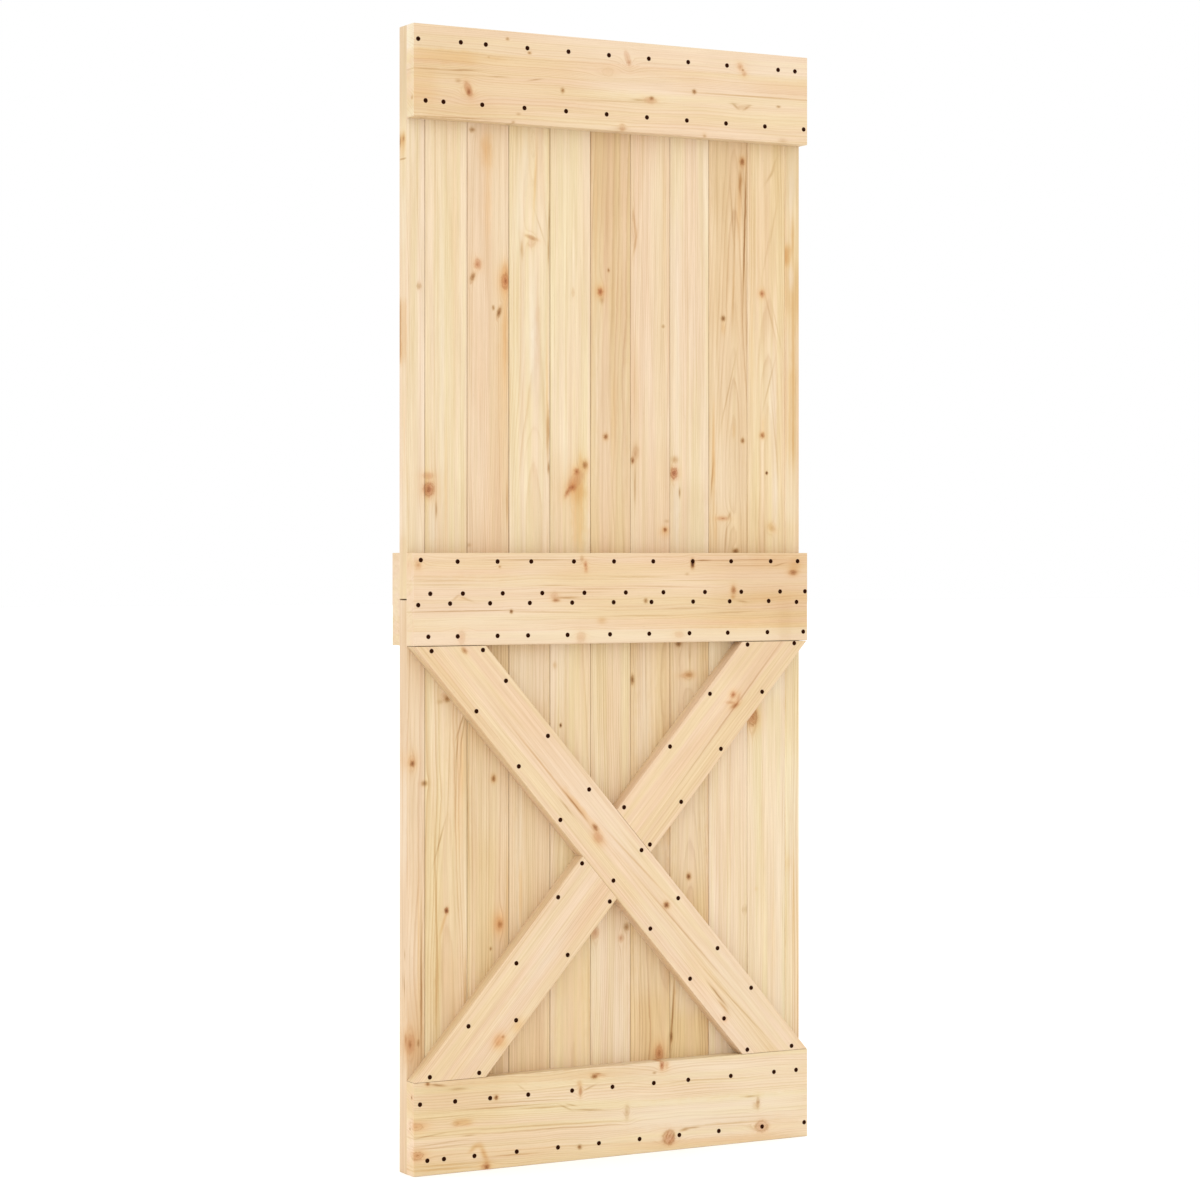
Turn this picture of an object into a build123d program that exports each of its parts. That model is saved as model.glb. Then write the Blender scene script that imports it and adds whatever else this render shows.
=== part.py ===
# A plank sliding-door panel: tongue-and-groove boards in an upper and a lower
# run, three front rails, one back rail over the joint between the two runs, and
# a diagonal cross of braces in the lower field.
#
# Frame of the part: X runs across the door (to the right, seen from the front),
# Y runs from the front face to the back, Z is up. The origin is at the centre
# of the top rail's front face, which is where the door is hung from.
import os

from build123d import *

# ---- driving dimensions, millimetres -------------------------------------
door_width = 850.0
door_height = 2100.0
leaf_thickness = 30.0       # the tongue-and-groove boards
rail_thickness = 30.0       # rails and braces, planted on the boards
rail_height = 170.0         # every rail is the same stock
mid_rail_bottom = 965.5     # above the door's bottom edge, front and back
board_joint = 1050.0        # height where the upper and lower boards meet
board_end_gap = 2.6         # the joint there, open at the door's edge between the mid rails

first_seam = 36.9           # left door edge to the first board joint
board_pitch = 86.81         # whole boards, joint to joint
whole_boards = 9
seam_gap = 0.3              # between two board shoulders
seam_chamfer = 1.0          # the small V at each joint, front and back
groove_depth = 10.0
groove_width = 10.0
tongue_length = 9.6
tongue_thickness = 9.6

brace_width = 110.0         # square to the brace's length
brace_cut = 147.0           # length of the brace's horizontal end cut
brace_gap_low = 0.6         # between a brace's end cut and the bottom rail
brace_gap_high = 1.1        # and the mid rail
butt_gap = 0.2              # where a short brace meets the long one
arris = 1.5                 # eased front edges of rails and braces

# ---- derived --------------------------------------------------------------
origin_x = door_width / 2
origin_z = door_height - rail_height / 2
leaf_front = rail_thickness
leaf_back = rail_thickness + leaf_thickness
leaf_mid = (leaf_front + leaf_back) / 2
seams = [first_seam + i * board_pitch for i in range(whole_boards + 1)]

os.makedirs("parts", exist_ok=True)


def write(solid, name):
    placed = Pos(-origin_x, 0, -origin_z) * solid
    export_step(placed, f"parts/{name}.step")
    print(name, round(placed.volume))


def board(left, right, bottom, top):
    """One upright board; left or right is None at a sawn outer edge."""
    c, g = seam_chamfer, seam_gap / 2
    f, b, m = leaf_front, leaf_back, leaf_mid
    if left is None:
        outline = [(0.0, f), (0.0, b)]
    else:
        x, h = left + g, groove_width / 2
        outline = [
            (x + c, f), (x, f + c), (x, m - h), (x + groove_depth, m - h),
            (x + groove_depth, m + h), (x, m + h), (x, b - c), (x + c, b),
        ]
    if right is None:
        outline += [(door_width, b), (door_width, f)]
    else:
        x, h = right - g, tongue_thickness / 2
        outline += [
            (x - c, b), (x, b - c), (x, m + h), (x + tongue_length, m + h),
            (x + tongue_length, m - h), (x, m - h), (x, f + c), (x - c, f),
        ]
    face = make_face(Polyline(*outline, close=True))
    return Pos(0, 0, bottom) * extrude(face, amount=top - bottom, dir=(0, 0, 1))


def rail(bottom, front):
    """A full-width rail whose show face is at y = front, or at the back of the door."""
    box = Pos(door_width / 2, front + rail_thickness / 2, bottom + rail_height / 2) * Box(
        door_width, rail_thickness, rail_height
    )
    show = front if front < leaf_front else front + rail_thickness
    edges = [
        e
        for e in box.edges()
        if abs(e.center().Y - show) < 0.01 and e.length > rail_height + 1
    ]
    return chamfer(edges, arris)


def slab(points):
    """A flat brace between the front plane and the boards, from points in X and Z."""
    front = [(x, 0.0, z) for x, z in points]
    face = make_face(Polyline(*front, close=True))
    solid = extrude(face, amount=rail_thickness, dir=(0, 1, 0))
    # only the long edges are eased; the cut ends stay sharp against the rails
    edges = [
        e
        for e in solid.edges()
        if abs(e.center().Y) < 0.01 and e.length > 1.5 * brace_cut
    ]
    return chamfer(edges, arris)


# ---- boards ---------------------------------------------------------------
bounds = [None, *seams, None]
for i in range(len(bounds) - 1):
    n = i + 1
    write(
        board(bounds[i], bounds[i + 1], board_joint + board_end_gap / 2, door_height),
        f"upper_board_{n:02d}",
    )
    write(
        board(bounds[i], bounds[i + 1], 0.0, board_joint - board_end_gap / 2),
        f"lower_board_{n:02d}",
    )

# ---- rails ----------------------------------------------------------------
write(rail(door_height - rail_height, 0.0), "top_rail")
write(rail(mid_rail_bottom, 0.0), "front_mid_rail")
write(rail(0.0, 0.0), "bottom_rail")
write(rail(mid_rail_bottom, leaf_back), "back_mid_rail")

# ---- braces ---------------------------------------------------------------
low = rail_height + brace_gap_low
high = mid_rail_bottom - brace_gap_high
field_low, field_high = rail_height, mid_rail_bottom
slope = (field_low - field_high) / (door_width - brace_cut)   # of the falling brace


def falling(z, edge):
    """X on the falling brace's left (edge 0) or right (edge 1) side at height z."""
    return (z - field_high) / slope + edge * brace_cut


def rising(z, edge):
    """The same on the rising brace, which mirrors the falling one."""
    return door_width - falling(z, 1 - edge)


write(
    slab([
        (falling(high, 0), high), (falling(high, 1), high),
        (falling(low, 1), low), (falling(low, 0), low),
    ]),
    "long_brace",
)


def meet(edge, shift):
    """Where the rising brace's side crosses a line along the falling brace's side."""
    # falling side shifted outwards by a horizontal distance, solved against the rising side
    # x = (z - field_high) / slope + shift
    # x = door_width - (z - field_high) / slope - (1 - edge) * brace_cut
    z = (door_width - (1 - edge) * brace_cut - shift) / 2 * slope + field_high
    return ((z - field_high) / slope + shift, z)


gap_x = butt_gap * brace_cut / brace_width    # the butt gap measured along X
upper_shift = brace_cut + gap_x
lower_shift = -gap_x

write(
    slab([
        (rising(high, 0), high), (rising(high, 1), high),
        meet(1, upper_shift), meet(0, upper_shift),
    ]),
    "upper_short_brace",
)
write(
    slab([
        (rising(low, 0), low), (rising(low, 1), low),
        meet(1, lower_shift), meet(0, lower_shift),
    ]),
    "lower_short_brace",
)
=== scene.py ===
import math

import bmesh
import bpy
from mathutils import Matrix, Vector


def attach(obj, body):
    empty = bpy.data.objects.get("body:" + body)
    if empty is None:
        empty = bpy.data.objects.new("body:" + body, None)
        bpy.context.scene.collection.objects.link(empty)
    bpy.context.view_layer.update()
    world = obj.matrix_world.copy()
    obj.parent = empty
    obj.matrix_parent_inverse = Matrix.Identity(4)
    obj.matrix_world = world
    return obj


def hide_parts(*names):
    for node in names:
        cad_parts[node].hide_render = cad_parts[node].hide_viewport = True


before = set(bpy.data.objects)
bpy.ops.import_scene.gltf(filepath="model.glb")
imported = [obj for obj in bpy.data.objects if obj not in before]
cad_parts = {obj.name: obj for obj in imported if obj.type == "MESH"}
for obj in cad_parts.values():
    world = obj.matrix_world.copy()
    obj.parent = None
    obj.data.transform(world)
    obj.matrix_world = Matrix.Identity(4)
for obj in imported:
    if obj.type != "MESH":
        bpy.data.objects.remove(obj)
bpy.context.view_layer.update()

# ---------------------------------------------------------------------------
# The door's own measures, in millimetres: X from its left edge, Y from the
# front plane of the rails, Z from its bottom edge. The row frame has its
# origin at the centre of the top rail's front face.
# ---------------------------------------------------------------------------
WIDTH, HEIGHT, RAIL = 850.0, 2100.0, 170.0
MID = 965.5                     # bottom of the mid rails
STOCK = 30.0                    # boards, rails and braces are this thick
CUT = 147.0                     # horizontal end cut of a brace
ORIGIN_X, ORIGIN_Z = WIDTH / 2, HEIGHT - RAIL / 2
X_AXIS, Y_AXIS, Z_AXIS = (1.0, 0.0, 0.0), (0.0, 1.0, 0.0), (0.0, 0.0, 1.0)


def at(x, y, z):
    return Vector(((x - ORIGIN_X) / 1000, y / 1000, (z - ORIGIN_Z) / 1000))


def srgb(r, g, b):
    def one(v):
        v /= 255
        return v / 12.92 if v <= 0.04045 else ((v + 0.055) / 1.055) ** 2.4

    return (one(r), one(g), one(b), 1.0)


# ---------------------------------------------------------------------------
# Node building
# ---------------------------------------------------------------------------
class Graph:
    def __init__(self, tree):
        self.tree, self.nodes, self.links = tree, tree.nodes, tree.links

    def add(self, kind, **props):
        node = self.nodes.new(kind)
        for name, value in props.items():
            setattr(node, name, value)
        return node

    def put(self, socket, value):
        if isinstance(value, bpy.types.NodeSocket):
            self.links.new(value, socket)
        elif value is not None:
            socket.default_value = value

    def math(self, op, *values, clamp=False):
        node = self.add("ShaderNodeMath", operation=op, use_clamp=clamp)
        for socket, value in zip(node.inputs, values):
            self.put(socket, value)
        return node.outputs[0]

    def vec(self, op, *values, scale=None):
        node = self.add("ShaderNodeVectorMath", operation=op)
        for socket, value in zip(node.inputs, values):
            self.put(socket, value)
        if scale is not None:
            self.put(node.inputs["Scale"], scale)
        return node.outputs[1 if op in ("DOT_PRODUCT", "LENGTH", "DISTANCE") else 0]

    def join(self, x, y, z):
        node = self.add("ShaderNodeCombineXYZ")
        for socket, value in zip(node.inputs, (x, y, z)):
            self.put(socket, value)
        return node.outputs[0]

    def split(self, v):
        node = self.add("ShaderNodeSeparateXYZ")
        self.put(node.inputs[0], v)
        return node.outputs

    def noise(self, vector, scale=1.0, detail=2.0, rough=0.5, dims="3D", w=None, distortion=0.0):
        node = self.add("ShaderNodeTexNoise", noise_dimensions=dims)
        if dims != "1D":
            self.put(node.inputs["Vector"], vector)
        if w is not None:
            self.put(node.inputs["W"], w)
        node.inputs["Scale"].default_value = scale
        node.inputs["Detail"].default_value = detail
        node.inputs["Roughness"].default_value = rough
        node.inputs["Distortion"].default_value = distortion
        return node.outputs

    def ramp(self, fac, stops, interp="LINEAR"):
        node = self.add("ShaderNodeValToRGB")
        r = node.color_ramp
        r.interpolation = interp
        while len(r.elements) < len(stops):
            r.elements.new(0.5)
        for element, (place, value) in zip(r.elements, stops):
            element.position = place
            element.color = (value, value, value, 1) if isinstance(value, (int, float)) else value
        self.put(node.inputs[0], fac)
        return node.outputs[0]

    def mix(self, fac, a, b, blend="MIX"):
        node = self.add("ShaderNodeMix", data_type="RGBA", blend_type=blend)
        self.put(node.inputs[0], fac)
        self.put(node.inputs[6], a)
        self.put(node.inputs[7], b)
        return node.outputs[2]

    def remap(self, value, a, b, c=0.0, d=1.0, mode="SMOOTHSTEP"):
        node = self.add("ShaderNodeMapRange", interpolation_type=mode)
        for socket, v in zip(node.inputs, (value, a, b, c, d)):
            self.put(socket, v)
        return node.outputs[0]


def group(name, inputs, outputs):
    tree = bpy.data.node_groups.new(name, "ShaderNodeTree")
    for n in inputs:
        tree.interface.new_socket(n, in_out="INPUT", socket_type="NodeSocketFloat")
    for n, kind in outputs:
        tree.interface.new_socket(n, in_out="OUTPUT", socket_type=kind)
    g = Graph(tree)
    return tree, g, g.add("NodeGroupInput").outputs, g.add("NodeGroupOutput").inputs


def knot_group():
    """One knot: how it pushes the grain aside, and where it is dark, red and haloed."""
    tree, g, i, o = group(
        "knot",
        ["Across", "Along", "Depth", "Wobble", "Fuzz", "Centre across", "Centre along", "Radius across", "Radius along",
         "Core", "Sharp", "Lean", "Cos", "Sin", "Flow", "Dark", "Red", "Halo", "Rim", "Rough", "Reach"],
        [("Push", "NodeSocketVector"), ("Tone", "NodeSocketVector")],
    )
    dx = g.math("SUBTRACT", g.math("SUBTRACT", i["Across"], i["Centre across"]), g.math("MULTIPLY", i["Lean"], i["Depth"]))
    dl = g.math("SUBTRACT", i["Along"], i["Centre along"])
    x = g.math("SUBTRACT", g.math("MULTIPLY", dx, i["Cos"]), g.math("MULTIPLY", dl, i["Sin"]))
    y = g.math("ADD", g.math("MULTIPLY", dx, i["Sin"]), g.math("MULTIPLY", dl, i["Cos"]))
    ex, ey = g.math("DIVIDE", x, i["Radius across"]), g.math("DIVIDE", y, i["Radius along"])
    exx = g.math("MULTIPLY", ex, ex)
    d0 = g.math("SQRT", g.math("MULTIPLY_ADD", ey, ey, exx))
    fuzz = g.math("MULTIPLY", g.math("SUBTRACT", i["Fuzz"], 0.5), i["Rough"])
    sway = g.math("MULTIPLY", g.math("SUBTRACT", i["Wobble"], 0.5), i["Rough"])
    d = g.math("MULTIPLY", d0, g.math("ADD", sway, 1.0))
    d = g.math("MAXIMUM", g.math("ADD", fuzz, d), 0.0)
    body = g.math("EXPONENT", g.math("MULTIPLY", g.math("POWER", d, 2.6), -0.95))
    ec = g.math("SUBTRACT", ey, i["Core"])
    dc = g.math("MAXIMUM", g.math("MULTIPLY_ADD", fuzz, 0.8, g.math("SQRT", g.math("MULTIPLY_ADD", ec, ec, exx))), 0.0)
    core = g.math("EXPONENT", g.math("MULTIPLY", g.math("MULTIPLY", dc, dc), g.math("MULTIPLY", i["Sharp"], -1.0)))
    rim = g.math("DIVIDE", g.math("SUBTRACT", d, 0.92), 0.16)
    rim = g.math("EXPONENT", g.math("MULTIPLY", g.math("MULTIPLY", rim, rim), -1.0))
    rings = g.math("SINE", g.math("MULTIPLY", g.math("MULTIPLY", d, i["Radius across"]), 2.3))
    halo = g.math("EXPONENT", g.math("MULTIPLY", g.math("MULTIPLY", d0, d0), -0.30))
    banded = g.math("MULTIPLY_ADD", g.math("MULTIPLY", rings, i["Rim"]), 0.7, 1.0)
    dark = g.math("MULTIPLY_ADD", g.math("MULTIPLY", i["Rim"], rim), 0.35, g.math("MULTIPLY", i["Dark"], g.math("MULTIPLY", core, banded)))
    red = g.math("MULTIPLY", i["Red"], g.math("MULTIPLY", body, banded))
    # how far the surrounding grain is pushed, in millimetres, and how much it bulges
    ly = g.math("DIVIDE", ey, 2.1)
    q = g.math("SQRT", g.math("MULTIPLY_ADD", ly, ly, exx))
    fall = g.math("POWER", g.math("MAXIMUM", q, 1.0), -2.3)
    push = g.math("MULTIPLY", g.math("MULTIPLY", dx, fall), g.math("MULTIPLY", i["Flow"], -0.92))
    bulge = g.math("MULTIPLY", g.math("EXPONENT", g.math("MULTIPLY", q, -0.8)),
                   g.math("MULTIPLY", g.math("MULTIPLY", i["Flow"], i["Radius across"]), 0.7))
    near = g.math("DIVIDE", i["Depth"], i["Reach"])
    near = g.math("DIVIDE", 1.0, g.math("MULTIPLY_ADD", near, near, 1.0))
    g.put(o["Push"], g.join(push, bulge, 0.0))
    g.put(o["Tone"], g.vec("SCALE", g.join(dark, red, g.math("MULTIPLY", i["Halo"], halo)), scale=near))
    return tree


def mark_group():
    """An elongated mark of stained or tinted wood: a resin streak, a warm band or a pale one. A brown one set where
    shade falls is painted shade, and a pale one set in shade is painted light. Edge 2 is soft, 6 is crisp.
    """
    tree, g, i, o = group(
        "mark",
        ["Across", "Along", "Wobble", "Grain", "Centre across", "Centre along", "Radius across", "Radius along", "Edge",
         "Cos", "Sin", "Brown", "Orange", "Pale"],
        [("Tone", "NodeSocketVector")],
    )
    dx = g.math("SUBTRACT", i["Across"], i["Centre across"])
    dl = g.math("SUBTRACT", i["Along"], i["Centre along"])
    x = g.math("SUBTRACT", g.math("MULTIPLY", dx, i["Cos"]), g.math("MULTIPLY", dl, i["Sin"]))
    y = g.math("ADD", g.math("MULTIPLY", dx, i["Sin"]), g.math("MULTIPLY", dl, i["Cos"]))
    ex = g.math("ABSOLUTE", g.math("ADD", g.math("DIVIDE", x, i["Radius across"]), g.math("MULTIPLY_ADD", i["Wobble"], 1.2, -0.6)))
    ey = g.math("ABSOLUTE", g.math("DIVIDE", y, i["Radius along"]))
    d2 = g.math("ADD", g.math("POWER", ex, i["Edge"]), g.math("POWER", ey, i["Edge"]))
    m = g.math("EXPONENT", g.math("MULTIPLY", d2, -0.9))
    m = g.math("MULTIPLY", m, g.math("MULTIPLY_ADD", i["Grain"], 1.6, 0.2))
    g.put(o["Tone"], g.vec("SCALE", g.join(i["Brown"], i["Orange"], i["Pale"]), scale=m))
    return tree


KNOT, MARK = knot_group(), mark_group()
# the wood's own brightness under a light of about 1.3
DEPTH_OF_TONE = (0.75, 0.75, 0.77)

# how strongly a knot's dark core, its red wood and its halo, and a brown mark (a resin streak, and painted shade where
# one is set in a shaded spot) and a warm band, hold back red, green and blue light
CORE, RUST, GLOW = (1.12, 1.62, 2.40), (0.42, 0.92, 1.20), (0.06, 0.27, 0.56)
RESIN_AND_SHADE, AMBER = (0.90, 1.32, 1.95), (0.10, 0.34, 0.74)
SAP_AND_PAINTED_LIGHT, CANAL, HONEY = srgb(249, 235, 212), srgb(126, 82, 48), srgb(226, 170, 106)


def pine(name, across, along, depth, spec, knots=(), marks=()):
    """A solid block of pine. across, along and depth are (direction in the row frame, value in mm at
    the row's origin), so every pattern runs through the piece from face to face.
    spec: tint, seed, pith (across, depth behind the face), ring spacing and contrast."""
    material = bpy.data.materials.new(name)
    material.use_nodes = True
    g = Graph(material.node_tree)
    g.nodes.clear()
    coords = g.add("ShaderNodeTexCoord")
    here = coords.outputs["Object"]
    seed = spec["seed"]

    def axis(pair):
        direction, offset = pair
        return g.math("ADD", g.vec("DOT_PRODUCT", here, tuple(1000 * c for c in direction)), offset)

    w, l, t = axis(across), axis(along), axis(depth)
    if any("y" in k for k in marks):
        side, up = axis((X_AXIS, ORIGIN_X)), axis((Z_AXIS, ORIGIN_Z))

    def field(ka, kt, kl, shift, detail=2.0, rough=0.5):
        """Noise stretched by its own amount across, through and along the piece, per millimetre."""
        return g.noise(g.join(g.math("MULTIPLY", w, ka), g.math("MULTIPLY", t, kt),
                              g.math("MULTIPLY_ADD", l, kl, seed * shift)), detail=detail, rough=rough)

    slow = field(0.0042, 0.0042, 0.00135, 3.17, 3.0, 0.45)
    dwx, dwy, dwz = g.split(g.vec("SUBTRACT", slow[1], (0.5, 0.5, 0.5)))
    wob = field(0.11, 0.06, 0.045, 1.7, 2.0, 0.6)[0]
    swell = spec.get("wave", 0.0)
    wave = field(0.011, 0.008, 0.0062, 8.7, 1.0)[0] if swell else None
    streak = field(0.15, 0.09, 0.0040, 4.1, 4.0, 0.68)[0]
    fibre = field(1.25, 1.1, 0.024, 1.0, 2.0, 0.6)[0]
    hue = field(0.042, 0.03, 0.00145, 7.3, 2.0, 0.55)[0]
    patch = field(0.016, 0.02, 0.0021, 2.3, 2.0)[0]
    canal = g.remap(field(1.9, 1.9, 0.10, 6.1, 1.0)[0], 0.70, 0.78)

    push, tone = None, None
    if knots:
        fuzz = field(0.34, 0.2, 0.24, 5.9, 2.0, 0.6)[0]
        deep = g.math("SUBTRACT", t, spec.get("face", 0.0))
    for k in knots:
        n = g.add("ShaderNodeGroup", node_tree=KNOT)
        turn = math.radians(k["tilt"])
        for label, value in (
            ("Across", w), ("Along", l), ("Depth", deep), ("Wobble", wob), ("Fuzz", fuzz),
            ("Centre across", k["a"]), ("Centre along", k["l"]),
            ("Radius across", k["ra"]), ("Radius along", k["rl"]), ("Core", k["core"]),
            ("Sharp", k["sharp"]), ("Lean", k["lean"]), ("Rim", k["rim"]),
            ("Rough", min(1.6, 6.5 / k["ra"], 6.5 / k["rl"] + 0.35)),
            ("Cos", math.cos(turn)), ("Sin", math.sin(turn)), ("Flow", k["flow"]),
            ("Dark", k["dark"]), ("Red", k["red"]), ("Halo", k["halo"]), ("Reach", k["reach"]),
        ):
            g.put(n.inputs[label], value)
        push = n.outputs["Push"] if push is None else g.vec("ADD", push, n.outputs["Push"])
        tone = n.outputs["Tone"] if tone is None else g.vec("ADD", tone, n.outputs["Tone"])
    stain_and_shade = None
    for k in marks:
        n = g.add("ShaderNodeGroup", node_tree=MARK)
        turn = math.radians(k["tilt"])
        for label, value in (
            ("Across", t if "y" in k else w), ("Along", up if "y" in k else l), ("Wobble", wob), ("Grain", streak),
            ("Centre across", k["a"]), ("Centre along", k["l"]),
            ("Radius across", k["ra"]), ("Radius along", k["rl"]), ("Edge", k["edge"]),
            ("Cos", math.cos(turn)), ("Sin", math.sin(turn)),
            ("Brown", k["brown"]), ("Orange", k["orange"]), ("Pale", k["pale"]),
        ):
            g.put(n.inputs[label], value)
        out = n.outputs["Tone"]
        if "y" in k:
            # only on the door's own edge face
            out = g.vec("SCALE", out, scale=g.math("LESS_THAN", g.math("ABSOLUTE", g.math("SUBTRACT", side, k["plane"])), 0.4))
        stain_and_shade = out if stain_and_shade is None else g.vec("ADD", stain_and_shade, out)

    # growth rings: distance from a pith that wanders along the stem
    pith_a, pith_t = spec["pith"]
    wander_a, wander_t = spec.get("wander", (22.0, 44.0))
    ra = g.math("SUBTRACT", g.math("MULTIPLY_ADD", dwx, wander_a, w), pith_a)
    if swell:
        ra = g.math("MULTIPLY_ADD", g.math("SUBTRACT", wave, 0.5), swell, ra)
    if push is not None:
        px, py, _ = g.split(push)
        ra = g.math("ADD", ra, px)
    rt = g.math("SUBTRACT", g.math("MULTIPLY_ADD", dwy, wander_t, t), pith_t)
    r = g.math("SQRT", g.math("MULTIPLY_ADD", ra, ra, g.math("MULTIPLY", rt, rt)))
    r = g.math("MULTIPLY_ADD", l, spec.get("taper", 0.006), r)
    if push is not None:
        r = g.math("ADD", r, py)
    r = g.math("MULTIPLY_ADD", wob, spec.get("wriggle", 1.1), r)
    if spec.get("phase"):
        r = g.math("ADD", r, spec["phase"])
    staves = []
    for lo, hi, soft, slope, shift, calm, pale, orange in spec.get("staves", ()):
        # a strip of another tone along the piece, as where two staves are glued edge to edge
        level = g.math("MULTIPLY_ADD", l, slope, w) if slope else w
        inside = g.math("MULTIPLY", g.remap(level, lo - soft, lo + soft), g.remap(level, hi - soft, hi + soft, 1.0, 0.0))
        r = g.math("MULTIPLY_ADD", inside, shift, r)
        staves.append((inside, calm, pale, orange))
    ring = g.math("DIVIDE", r, spec["ring"])
    uneven = g.noise(None, dims="1D", w=g.math("MULTIPLY_ADD", ring, 0.16, seed * 9.1), detail=1.0)[0]
    ring = g.math("MULTIPLY_ADD", uneven, 3.0, ring)
    late = g.ramp(g.math("FRACT", ring), [(0.0, 0.25), (0.10, 0.0), (0.38, 0.06), (0.66, 0.38), (0.86, 0.95), (0.93, 1.0), (1.0, 0.25)])
    strength = g.noise(None, dims="1D", w=g.math("MULTIPLY_ADD", ring, 0.53, seed * 5.3), detail=1.0)[0]
    late = g.math("MULTIPLY", late, g.remap(strength, 0.32, 0.66, 0.30, 1.0))
    # long patches in which the rings show more or less
    late = g.math("MULTIPLY", late, g.remap(patch, 0.33, 0.66, 0.50, 1.0))
    for inside, calm, pale, orange in staves:
        late = g.math("MULTIPLY", late, g.math("MULTIPLY_ADD", inside, -calm, 1.0))
    if tone is not None:
        kd, kr, kh = g.split(tone)
        late = g.math("MULTIPLY", late, g.math("SUBTRACT", 1.0, g.math("MINIMUM", g.math("ADD", kr, kd), 0.9)))

    light, honey, dark = spec["tint"]
    base = g.mix(g.remap(patch, 0.3, 0.72), light, honey)
    swing = spec.get("hue", 0.55)
    rosy = (1 + 0.012 * swing, 1 - 0.026 * swing, 1 + 0.035 * swing, 1)
    straw = (1 - 0.014 * swing, 1 + 0.018 * swing, 1 - 0.105 * swing, 1)
    colour = g.mix(g.math("MULTIPLY", late, spec["contrast"]), base, dark)
    # streaks darken towards amber, as the real ones do
    sa = spec.get("streak", 1.0)
    colour = g.vec("MULTIPLY", colour, g.mix(streak, (1 - 0.20 * sa, 1 - 0.275 * sa, 1 - 0.40 * sa, 1),
                                             (1 + 0.20 * sa, 1 + 0.275 * sa, 1 + 0.40 * sa, 1)))
    colour = g.vec("SCALE", colour, scale=g.math("MULTIPLY_ADD", fibre, 0.20, 0.90))
    colour = g.vec("MULTIPLY", colour, g.mix(g.remap(hue, 0.36, 0.64), rosy, straw))
    colour = g.mix(g.math("MULTIPLY", canal, 0.30), colour, CANAL)
    for inside, calm, pale, orange in staves:
        if pale:
            colour = g.mix(g.math("MULTIPLY", inside, pale), colour, SAP_AND_PAINTED_LIGHT)
        if orange:
            colour = g.mix(g.math("MULTIPLY", inside, orange), colour, HONEY)
    held = None
    # brown marks are resin streaks, and painted shade where they are set in shaded spots; pale marks are sapwood, and
    # painted light where they are set in shade
    if stain_and_shade is not None:
        brown, orange, pale = g.split(stain_and_shade)
        colour = g.mix(g.math("MINIMUM", pale, 1.0), colour, SAP_AND_PAINTED_LIGHT)
        held = g.vec("ADD", g.vec("SCALE", RESIN_AND_SHADE, scale=brown), g.vec("SCALE", AMBER, scale=orange))
    if tone is not None:
        warm = g.vec("ADD", g.vec("SCALE", RUST, scale=kr), g.vec("SCALE", GLOW, scale=kh))
        warm = g.vec("ADD", warm, g.vec("SCALE", CORE, scale=kd))
        held = warm if held is None else g.vec("ADD", held, warm)
    if held is not None:
        passed = [g.math("EXPONENT", g.math("MULTIPLY", c, -1.0)) for c in g.split(held)]
        colour = g.vec("MULTIPLY", colour, g.join(*passed))
    # end faces get a set tint, paler than the planed faces: painted light for the light the end faces catch, strongest
    # on the top rail's ends and slightly darker on the back mid rail's
    normal = coords.outputs["Normal"]
    end = g.remap(g.math("ABSOLUTE", g.vec("DOT_PRODUCT", normal, along[0])), 0.75, 0.95)
    colour = g.mix(end, colour, g.mix(1.0, colour, spec.get("end", (1.04, 1.09, 1.15, 1)), "MULTIPLY"))
    if spec.get("bevel"):
        # painted shade on the slopes of the V at each joint: these chamfer faces are darkened by a set amount on each
        # side of the board
        nx = g.split(normal)[0]
        for turned, amount in zip((g.math("MULTIPLY", nx, -1.0), nx), spec["bevel"]):
            slope = g.math("MULTIPLY", g.remap(turned, 0.45, 0.60), g.remap(turned, 0.82, 0.95, 1.0, 0.0))
            shade = tuple(1 - amount * v for v in (0.34, 0.38, 0.43)) + (1,)
            colour = g.mix(slope, colour, g.mix(1.0, colour, shade, "MULTIPLY"))

    colour = g.vec("MULTIPLY", colour, DEPTH_OF_TONE)
    height = g.math("MULTIPLY_ADD", canal, -0.4, fibre)
    rough = g.math("MULTIPLY_ADD", late, -0.08, g.math("MULTIPLY_ADD", fibre, 0.12, 0.53))
    if tone is not None:
        rough = g.math("MULTIPLY_ADD", g.math("MINIMUM", kd, 1.0), -0.14, rough)
    bump = g.add("ShaderNodeBump")
    bump.inputs["Strength"].default_value = 0.35
    bump.inputs["Distance"].default_value = 0.00016
    g.put(bump.inputs["Height"], height)

    shader = g.add("ShaderNodeBsdfPrincipled")
    g.put(shader.inputs["Base Color"], colour)
    g.put(shader.inputs["Roughness"], rough)
    g.put(shader.inputs["Normal"], bump.outputs[0])
    shader.inputs["Specular IOR Level"].default_value = 0.30
    out = g.add("ShaderNodeOutputMaterial")
    g.put(out.inputs["Surface"], shader.outputs[0])
    return material


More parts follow.
